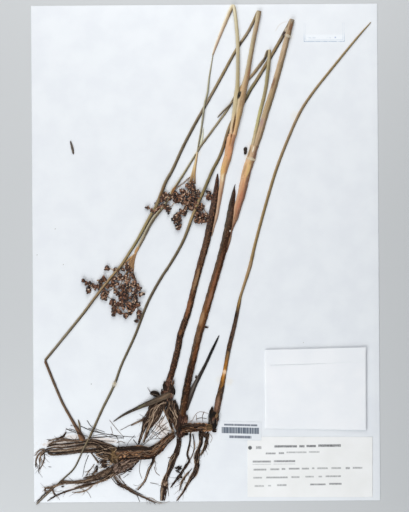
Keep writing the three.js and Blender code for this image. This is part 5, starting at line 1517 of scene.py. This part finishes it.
def crown_c(skins, rng):
    """The long leaf's base, with one pointed black scale at its left."""
    body = Body()
    crown(body, CROWN_C, rng, (1, 2, 0, 2, 3), 12, 6)
    core(body, [(2.6, -139, 2.4), (3.8, -135, 3), (4.6, -129.4, 1.2)], rng, 1, "crown")
    core(body, [(4.8, -149, 2), (6.4, -150, 3)], rng, 1, "crown", 0.2)
    for fibres, count, kinds in (([(6.8, -136, 5), (5.4, -142, 7), (4.8, -147, 6)], 20, (0, 1, 2, 3)),
                                 ([(4.6, -130, 1.4), (3.6, -136, 3.4), (3, -142, 4)], 12, (1, 1, 2))):
        bundle(body, fibres, count, rng, (0.14, 0.34), 0.55, 0.9, kinds)
    body.piece("crown_c_scales", skins, "dark_sheath", "crown_c")


def ringed(body, rows, rng, kind, rings=1.9):
    """A rhizome: a lumpy stem with close rings where its scales sat, as far apart as given."""
    sides, ragged, lumps = 22, 0.12, 0.1
    course = Course(rows, 0.45)
    turn = np.arange(sides) * TAU / sides
    width = course.width * (1 + wander(course.run, ragged, 6, rng))
    nearest = np.minimum(course.run, course.run[-1] - course.run)
    taper = np.sqrt(1 - (1 - np.clip(nearest / (0.45 * width), 0.02, 1)) ** 2)
    saw = (course.run / rings + wander(course.run, 0.3, 13, rng)) % 1.0
    ring = 1 - 0.13 * (1 - saw) ** 2
    half = 0.5 * width * taper * ring
    thick = (SKIN + PRESS["rhizome"] * width) * (0.3 + 0.7 * taper)
    lump = 1 + lumps * np.sin(3 * turn[None] + wander(course.run, 3.5, 11, rng)[:, None])
    lump = lump + 0.5 * lumps * np.sin(7 * turn[None] + wander(course.run, 6, 5, rng)[:, None])
    rise = np.where(np.sin(turn) > 0, np.sin(turn), -np.abs(np.sin(turn)) ** 0.5)
    points = np.empty((course.count, sides, 3))
    apart = half[:, None] * np.cos(turn)[None] * lump
    points[..., :2] = course.place[:, None] + course.side[:, None] * apart[..., None]
    points[..., 2] = course.low[:, None] + thick[:, None] * (0.5 + 0.5 * rise[None] * ring[:, None] * lump)
    points[..., 2] = np.maximum(points[..., 2], FACE + 0.04)
    across = np.sign(course.side[:, 1].sum()) * np.cos(turn)[None]
    body.rings(points, grain_along(points, across, course.run, own_number(rng)), kind)


def scaled(body, rows, count, rng, kinds, length=(3, 7)):
    """Torn scales that lie over a rhizome at all angles near its own direction."""
    course = Course(rows, 0.8)
    for _ in range(count):
        at = rng.integers(1, course.count - 1)
        offset = rng.uniform(-0.5, 0.5)
        foot = course.place[at] + course.side[at] * offset * course.width[at]
        heading = math.atan2(course.along[at, 1], course.along[at, 0]) + rng.normal(0, 0.5)
        heading += math.pi * rng.integers(2)
        step = 0.5 * rng.uniform(*length) * np.array([math.cos(heading), math.sin(heading)])
        top = GAP + (SKIN + PRESS["rhizome"] * course.width[at]) * (1 - 2.2 * offset ** 2) * 0.9
        wide = rng.uniform(0.8, 2.2)
        scale = [(*(foot - step), wide * 0.5, top * 0.8), (*foot, wide, top),
                 (*(foot + step), 0.3, top * 0.7)]
        stem(body, scale, rng, press="stem", sides=8, step=0.7, ribs=3.0, rib=0.12, furrow=0.2, ragged=0.25,
             kind=int(rng.choice(kinds)), strand=own_number(rng))


def rhizome_skins(barks):
    """The root skins 0 to 2, then 3 for an olive knob, 4 for a pinkish lobe and 5 for orange inner bark."""
    return [*barks,
            mottled_finish("knob_skin", "#2f2112", "#7d6242", "#bb9d70", 0.6, 1.4),
            mottled_finish("lobe_skin", "#2f221b", "#6b5346", "#a88f80", 0.6, 0.8),
            mottled_finish("inner_bark", "#2a170d", "#714930", "#b98c66", 0.6, 0.8)]


# The left rhizome: its main run, the lobe below it, the knob at its left end and a dark strand on top
MAIN = [(-27.6, -152.8, 3), (-30, -154.4, 3.8), (-36, -159.4, 5), (-42, -165, 7), (-48, -168.2, 7.6),
        (-56, -167.8, 9), (-64, -167.8, 9), (-70, -168.6, 8.6), (-77, -170, 9)]
LOBE = [(-58, -172.6, 4), (-64, -176, 6.2), (-71, -179.4, 7.2), (-79, -183, 6)]
END_KNOB = [(-77.6, -163, 7.4), (-78, -170, 10), (-77.6, -176.8, 7)]
TOP_STRAND = [(-44, -165.6, 0.9, 3.2), (-58, -167.8, 1.2, 4.2), (-73, -168, 1.2, 4.2)]
# Fibres on the rhizomes: route, count, thickness, spread, lift and skins
LEFT_FIBRES = [
    (MAIN, 60, (0.25, 0.6), 0.58, 1.2, (0, 0, 1, 2, 2, 5, 5)),
    (LOBE, 26, (0.16, 0.4), 0.58, 1.2, (0, 1, 4, 4, 2)),
    ([(-46, -164.6, 1.6), (-56, -164.4, 3), (-64, -164.4, 3.8), (-76, -165.4, 3.6)], 18, (0.3, 0.6), 0.5, 2.4,
     (0,)),
    ([(-43, -167.4, 1.6), (-52, -171, 1.8), (-60, -171.8, 2)], 7, (0.2, 0.4), 0.5, 1.2, (5, 2)),
    ([(-76, -168, 8), (-85, -167.4, 9.4), (-94, -165.6, 6)], 40, (0.2, 0.5), 0.56, 0.3, (0, 0, 1, 2, 2)),
    ([(-76, -176, 4), (-84, -176.4, 5), (-92, -179.6, 3)], 12, (0.18, 0.34), 0.56, 0.3, (1, 1, 2)),
    ([(-78, -183.4, 6), (-87, -187, 6.4), (-96, -190.6, 4)], 24, (0.18, 0.42), 0.56, 0.3, (0, 1, 2, 2)),
    ([(-62, -178.6, 3), (-72, -184, 4), (-80, -187, 2)], 8, (0.2, 0.4), 0.55, 0.4, (4, 1)),
]
RIGHT_RUN = [(-20.6, -147.2, 7.8), (-10, -146.8, 7.4), (-2, -146.9, 7), (5.5, -147.2, 6.6)]
RIGHT_FIBRES = [
    ([(-21, -144.7, 1.8), (-12, -144.6, 1.8), (-1, -144.6, 1.6)], 9, (0.2, 0.45), 0.5, 2.2, (0, 0, 1)),
    ([(-21, -146.4, 1.8), (-14, -146.2, 2), (-3, -146.4, 1.4)], 11, (0.2, 0.45), 0.5, 2.8, (0, 0, 1)),
    ([(-21, -149, 2.8), (-15, -148.8, 2.8), (-8, -148.8, 2.2)], 16, (0.2, 0.45), 0.5, 2.6, (5, 5, 5, 2)),
    ([(-9, -147.6, 4), (-5, -147.4, 4.4), (0, -147.2, 4)], 10, (0.2, 0.45), 0.5, 2.4, (4, 1, 5, 0)),
    ([(-21, -150, 1.4), (-10, -150, 1.4), (0, -149.8, 1.4)], 6, (0.2, 0.45), 0.5, 0.8, (1, 0)),
]


def wrapped(body, fibres, rng):
    """All the bundles of fibres on a rhizome."""
    for rows, count, radius, spread, lift, kinds in fibres:
        bundle(body, rows, count, rng, radius, spread, lift, kinds)


def rhizome_left(skins, rng):
    """The long rhizome: its main run, the lobe below it and the knob at its left end, wrapped in fibres."""
    body = Body()
    ringed(body, MAIN, rng, 5)
    ringed(body, LOBE, rng, 4)
    ringed(body, END_KNOB, rng, 3, 2.6)
    wrapped(body, LEFT_FIBRES, rng)
    core(body, TOP_STRAND, rng, 0, "stem", 0.25)
    for rows, count, kinds in ((MAIN, 30, (0, 0, 5, 5, 1)), (LOBE, 14, (4, 1, 0)),
                               (END_KNOB, 30, (3, 2, 1, 0))):
        scaled(body, rows, count, rng, kinds)
        rootlets(body, rows, count // 2, rng, (2, 5), kinds=(0, 1, 2))
    for x, y, wide, tall in ROOTSTOCK_CLODS:
        clod(body, x, y, wide, tall, rng, 0, 2.4 if x > -82 else 0.9)
    body.piece("rhizome_left_ringed", skins, "rhizome", "rhizome_left")


def rhizome_right(skins, rng):
    """The short rhizome between the right shoot and the long leaf, dark above and orange below."""
    body = Body()
    ringed(body, RIGHT_RUN, rng, 5, 2.6)
    wrapped(body, RIGHT_FIBRES, rng)
    ringed(body, [(-0.6, -147, 4.4, 2.2), (2.4, -146.8, 5, 2.2), (5, -147.2, 4.6, 2.2)], rng, 3, 1.7)
    scaled(body, RIGHT_RUN, 16, rng, (0, 1, 5, 0))
    scaled(body, [(0, -146.6, 4.6), (5, -147, 4.6)], 18, rng, (0, 0, 1, 3), (2, 3.6))
    clod(body, 6, -150, 3, 2.8, rng, 0, 0.9)
    rootlets(body, RIGHT_RUN, 12, rng, (2, 5), kinds=(0, 1, 2))
    body.piece("rhizome_right_ringed", skins, "rhizome", "rhizome_right")


# The skins of the fibres around a root, by the number of the root's own skin
MIXED = {0: (0, 0, 0, 1, 2), 1: (1, 1, 0, 0, 2), 2: (2, 2, 2, 1, 0)}
# Clods on a single root: middle, width and height, skin and lift
ROOT_CLODS = {3: [(-35.4, -195.6, 4.4, 6, 1, 0.5)],
              5: [(-3.6, -153, 4.8, 3.6, 0, 0.9), (-8.4, -181, 3.6, 6, 0, 0.9)]}
# A thin strand that joins root 4 from the right
SIDE_STRAND = [(-11.6, -152.6, 0.8), (-10.6, -158, 0.8), (-10.6, -165, 0.8), (-12, -170, 0.9),
               (-14.8, -175.6, 1)]


def single_roots(barks):
    """The roots that hang to the sheet's foot: the first mostly loose strands, the others wrapped cores."""
    for number, (kind, rows) in enumerate(ROOTS, 1):
        rng = draws("roots", number)
        body = Body()
        share, count = (0.2, 9) if number == 1 else (0.6, 7 + int(rows[0][2] * 4))
        core(body, [(x, y, share * width) for x, y, width in rows], rng, kind, reach=(4, 0))
        bundle(body, rows, count, rng, (0.14, 0.4), 0.58, kinds=MIXED[kind])
        rootlets(body, rows, 14, rng, (2, 7), kinds=MIXED[kind])
        for x, y, wide, tall, skin, lift in ROOT_CLODS.get(number, ()):
            clod(body, x, y, wide, tall, rng, skin, lift)
        if number == 4:
            bundle(body, SIDE_STRAND, 4, rng, (0.2, 0.4), kinds=(2, 1))
        body.piece(f"root_{number}_fibres", barks, "root", f"root_{number}")


# Each bundle: its node, strands, the core's share of their width, and how many fibres wrap each strand
BUNDLES = [("root_fan_a", FAN, 0.6, 26), ("roots_upper_left", UPPER_LEFT, 0.5, 5),
           ("roots_lower_left", LOWER_LEFT, 0.5, 5)]


def root_bundles(barks):
    """The fan below crown A and the two bundles at the left, each strand a thin core in its fibres."""
    for node, strands, share, count in BUNDLES:
        rng = draws(node)
        body = Body()
        # Stem B's limb lies over the upper left bundle, and beneath the others where they meet
        over = [] if node == "roots_upper_left" else [Course(STEM_B_RETURN, 0.9)]
        for kind, rows in strands:
            wide = max(row[2] for row in rows)
            core(body, [(x, y, share * width) for x, y, width in rows], rng, kind, over=over)
            bundle(body, rows, count + int(wide), rng, (0.16, 0.24 + 0.05 * wide), 0.58, kinds=MIXED[kind],
                   over=over)
            rootlets(body, rows, 6, rng, (2, 7), kinds=MIXED[kind], over=over)
        body.piece(f"{node}_fibres", barks, "root", node)


def fine_roots(barks):
    """Hair roots and crumbs that lie loose on the sheet around the rootstock."""
    skins = [mottled_finish("hair_root_skin", "#3d3028", "#7a6859", "#b8a594", 0.7), *barks[:2]]
    rng = draws("hairs")
    beneath = [Course(rows, 0.9) for rows in (STEM_B_RETURN, STEM_A_END)]
    body = Body()
    for points in HAIRS:
        hair(body, points, rng, rng.uniform(0.18, 0.34), int(rng.choice([0, 0, 1, 2])), over=beneath)
    for x, y, wide, tall in LOOSE_CLODS:
        clod(body, x, y, wide, tall, rng, 1)
    body.piece("hair_roots", skins, "root")


# Specks: x, y, length and heading
FLECKS = [(-132.5, -179.3, 3.0, -0.2), (-126.7, 21, 0.9, 0.4), (-142, -1, 0.8, 1.0), (-97, -110, 0.9, 0.2),
          (-120, -9, 0.7, 0.8), (15.2, -100, 1.2, 0.3), (-8.5, -104, 1.0, 0.9), (82, -76, 0.5, 0.0)]


def flecks():
    """Specks of broken leaf that stayed on the sheet."""
    skin = mottled_finish("speck_skin", "#55504a", "#7d7870", "#a09a90", 0.7)
    rng = draws("specks")
    body = Body()
    for x, y, length, heading in FLECKS:
        foot = np.array([x - length / 2, y, FACE + 0.1])
        pod(body, foot, heading, 0.0, length, 0.3, HUSK_FORM, 0.4, 0.1, 0, own_number(rng))
    body.piece("loose_specks", [skin], "dark_sheath")


# Studio
VIEW = {"height": 432.0, "distance": 1500.0, "centre": (-0.97, -2.48), "turn": -0.37, "sensor": 36.0,
        "end": 20000.0}
# Name, place and size in metres, energy and colour
LIGHTS = [("key_light", (-0.6, -0.5, 0.7), 0.5, 1.7, (1.0, 0.99, 0.97)),
          ("upper_light", (0.0, 0.55, 0.42), 0.6, 2.8, (1.0, 1.0, 1.0)),
          ("lower_light", (-0.2, -0.6, 0.47), 0.6, 2.9, (0.95, 0.98, 1.0))]
SKY = {"Color": (0.93, 0.96, 1.0, 1.0), "Strength": 0.33}
FLOOR_REACH = 4.0                              # half the floor's side, in metres


def camera():
    """Straight above the sheet, far off, and turned as the view is."""
    data = bpy.data.cameras.new("view_camera")
    data.sensor_width = VIEW["sensor"]
    data.lens = VIEW["sensor"] * VIEW["distance"] / VIEW["height"]
    data.clip_end = VIEW["end"] * MM
    seen = bpy.data.objects.new("view_camera", data)
    seen.location = (VIEW["centre"][0] * MM, VIEW["centre"][1] * MM, (FACE + VIEW["distance"]) * MM)
    seen.rotation_euler = (0, 0, math.radians(VIEW["turn"]))
    bpy.context.scene.collection.objects.link(seen)
    bpy.context.scene.camera = seen


def light(name, place, size, energy, colour):
    """A round soft light that shines on the middle of the sheet."""
    data = bpy.data.lights.new(name, "AREA")
    data.shape = "DISK"
    data.size = size
    data.energy = energy
    data.color = colour
    lamp = bpy.data.objects.new(name, data)
    lamp.location = place
    lamp.rotation_euler = (Vector((0, 0, 0)) - Vector(place)).to_track_quat("-Z", "Y").to_euler()
    bpy.context.scene.collection.objects.link(lamp)


def studio():
    """The floor, a dim cool sky and three soft lights."""
    mesh = bpy.data.meshes.new("floor")
    corners = [(-1, -1), (1, -1), (1, 1), (-1, 1)]
    mesh.from_pydata([(x * FLOOR_REACH, y * FLOOR_REACH, 0) for x, y in corners], [], [(0, 1, 2, 3)])
    mesh.materials.append(floor_finish())
    floor = bpy.data.objects.new("floor", mesh)
    bpy.context.scene.collection.objects.link(floor)
    world = bpy.data.worlds.new("studio")
    world.use_nodes = True
    for socket, value in SKY.items():
        world.node_tree.nodes["Background"].inputs[socket].default_value = value
    bpy.context.scene.world = world
    for lamp in LIGHTS:
        light(*lamp)
    bpy.context.scene.view_settings.view_transform = "Standard"


camera()
studio()
mounting_sheet()
specimen_label()
barcode_slip()
fragment_packet()
paste = glue_finish()
for drop_number, drop in enumerate(GLUE_DROPS, 1):
    glue_drop(drop_number, *drop, paste)
stems()
bract()

twig_skin = mottled_finish("twig_skin", "umber", "#9a7654", "#c79d6c", 0.6)
head_finishes = [capsule_finish(), husk_finish(), twig_skin, stalk_finish(), paste]
head_draws = draws("heads")
lower_heads(head_finishes, head_draws)
upper_heads(head_finishes, head_draws)

crown_finishes = scale_skins()
crown_draws = draws("crowns")
crown_a(crown_finishes, crown_draws)
crown_b(crown_finishes, crown_draws)
crown_c(crown_finishes, crown_draws)

root_barks = root_skins()
rhizome_finishes = rhizome_skins(root_barks)
rhizome_draws = draws("rhizomes")
rhizome_left(rhizome_finishes, rhizome_draws)
rhizome_right(rhizome_finishes, rhizome_draws)
single_roots(root_barks)
root_bundles(root_barks)
fine_roots(root_barks)
flecks()
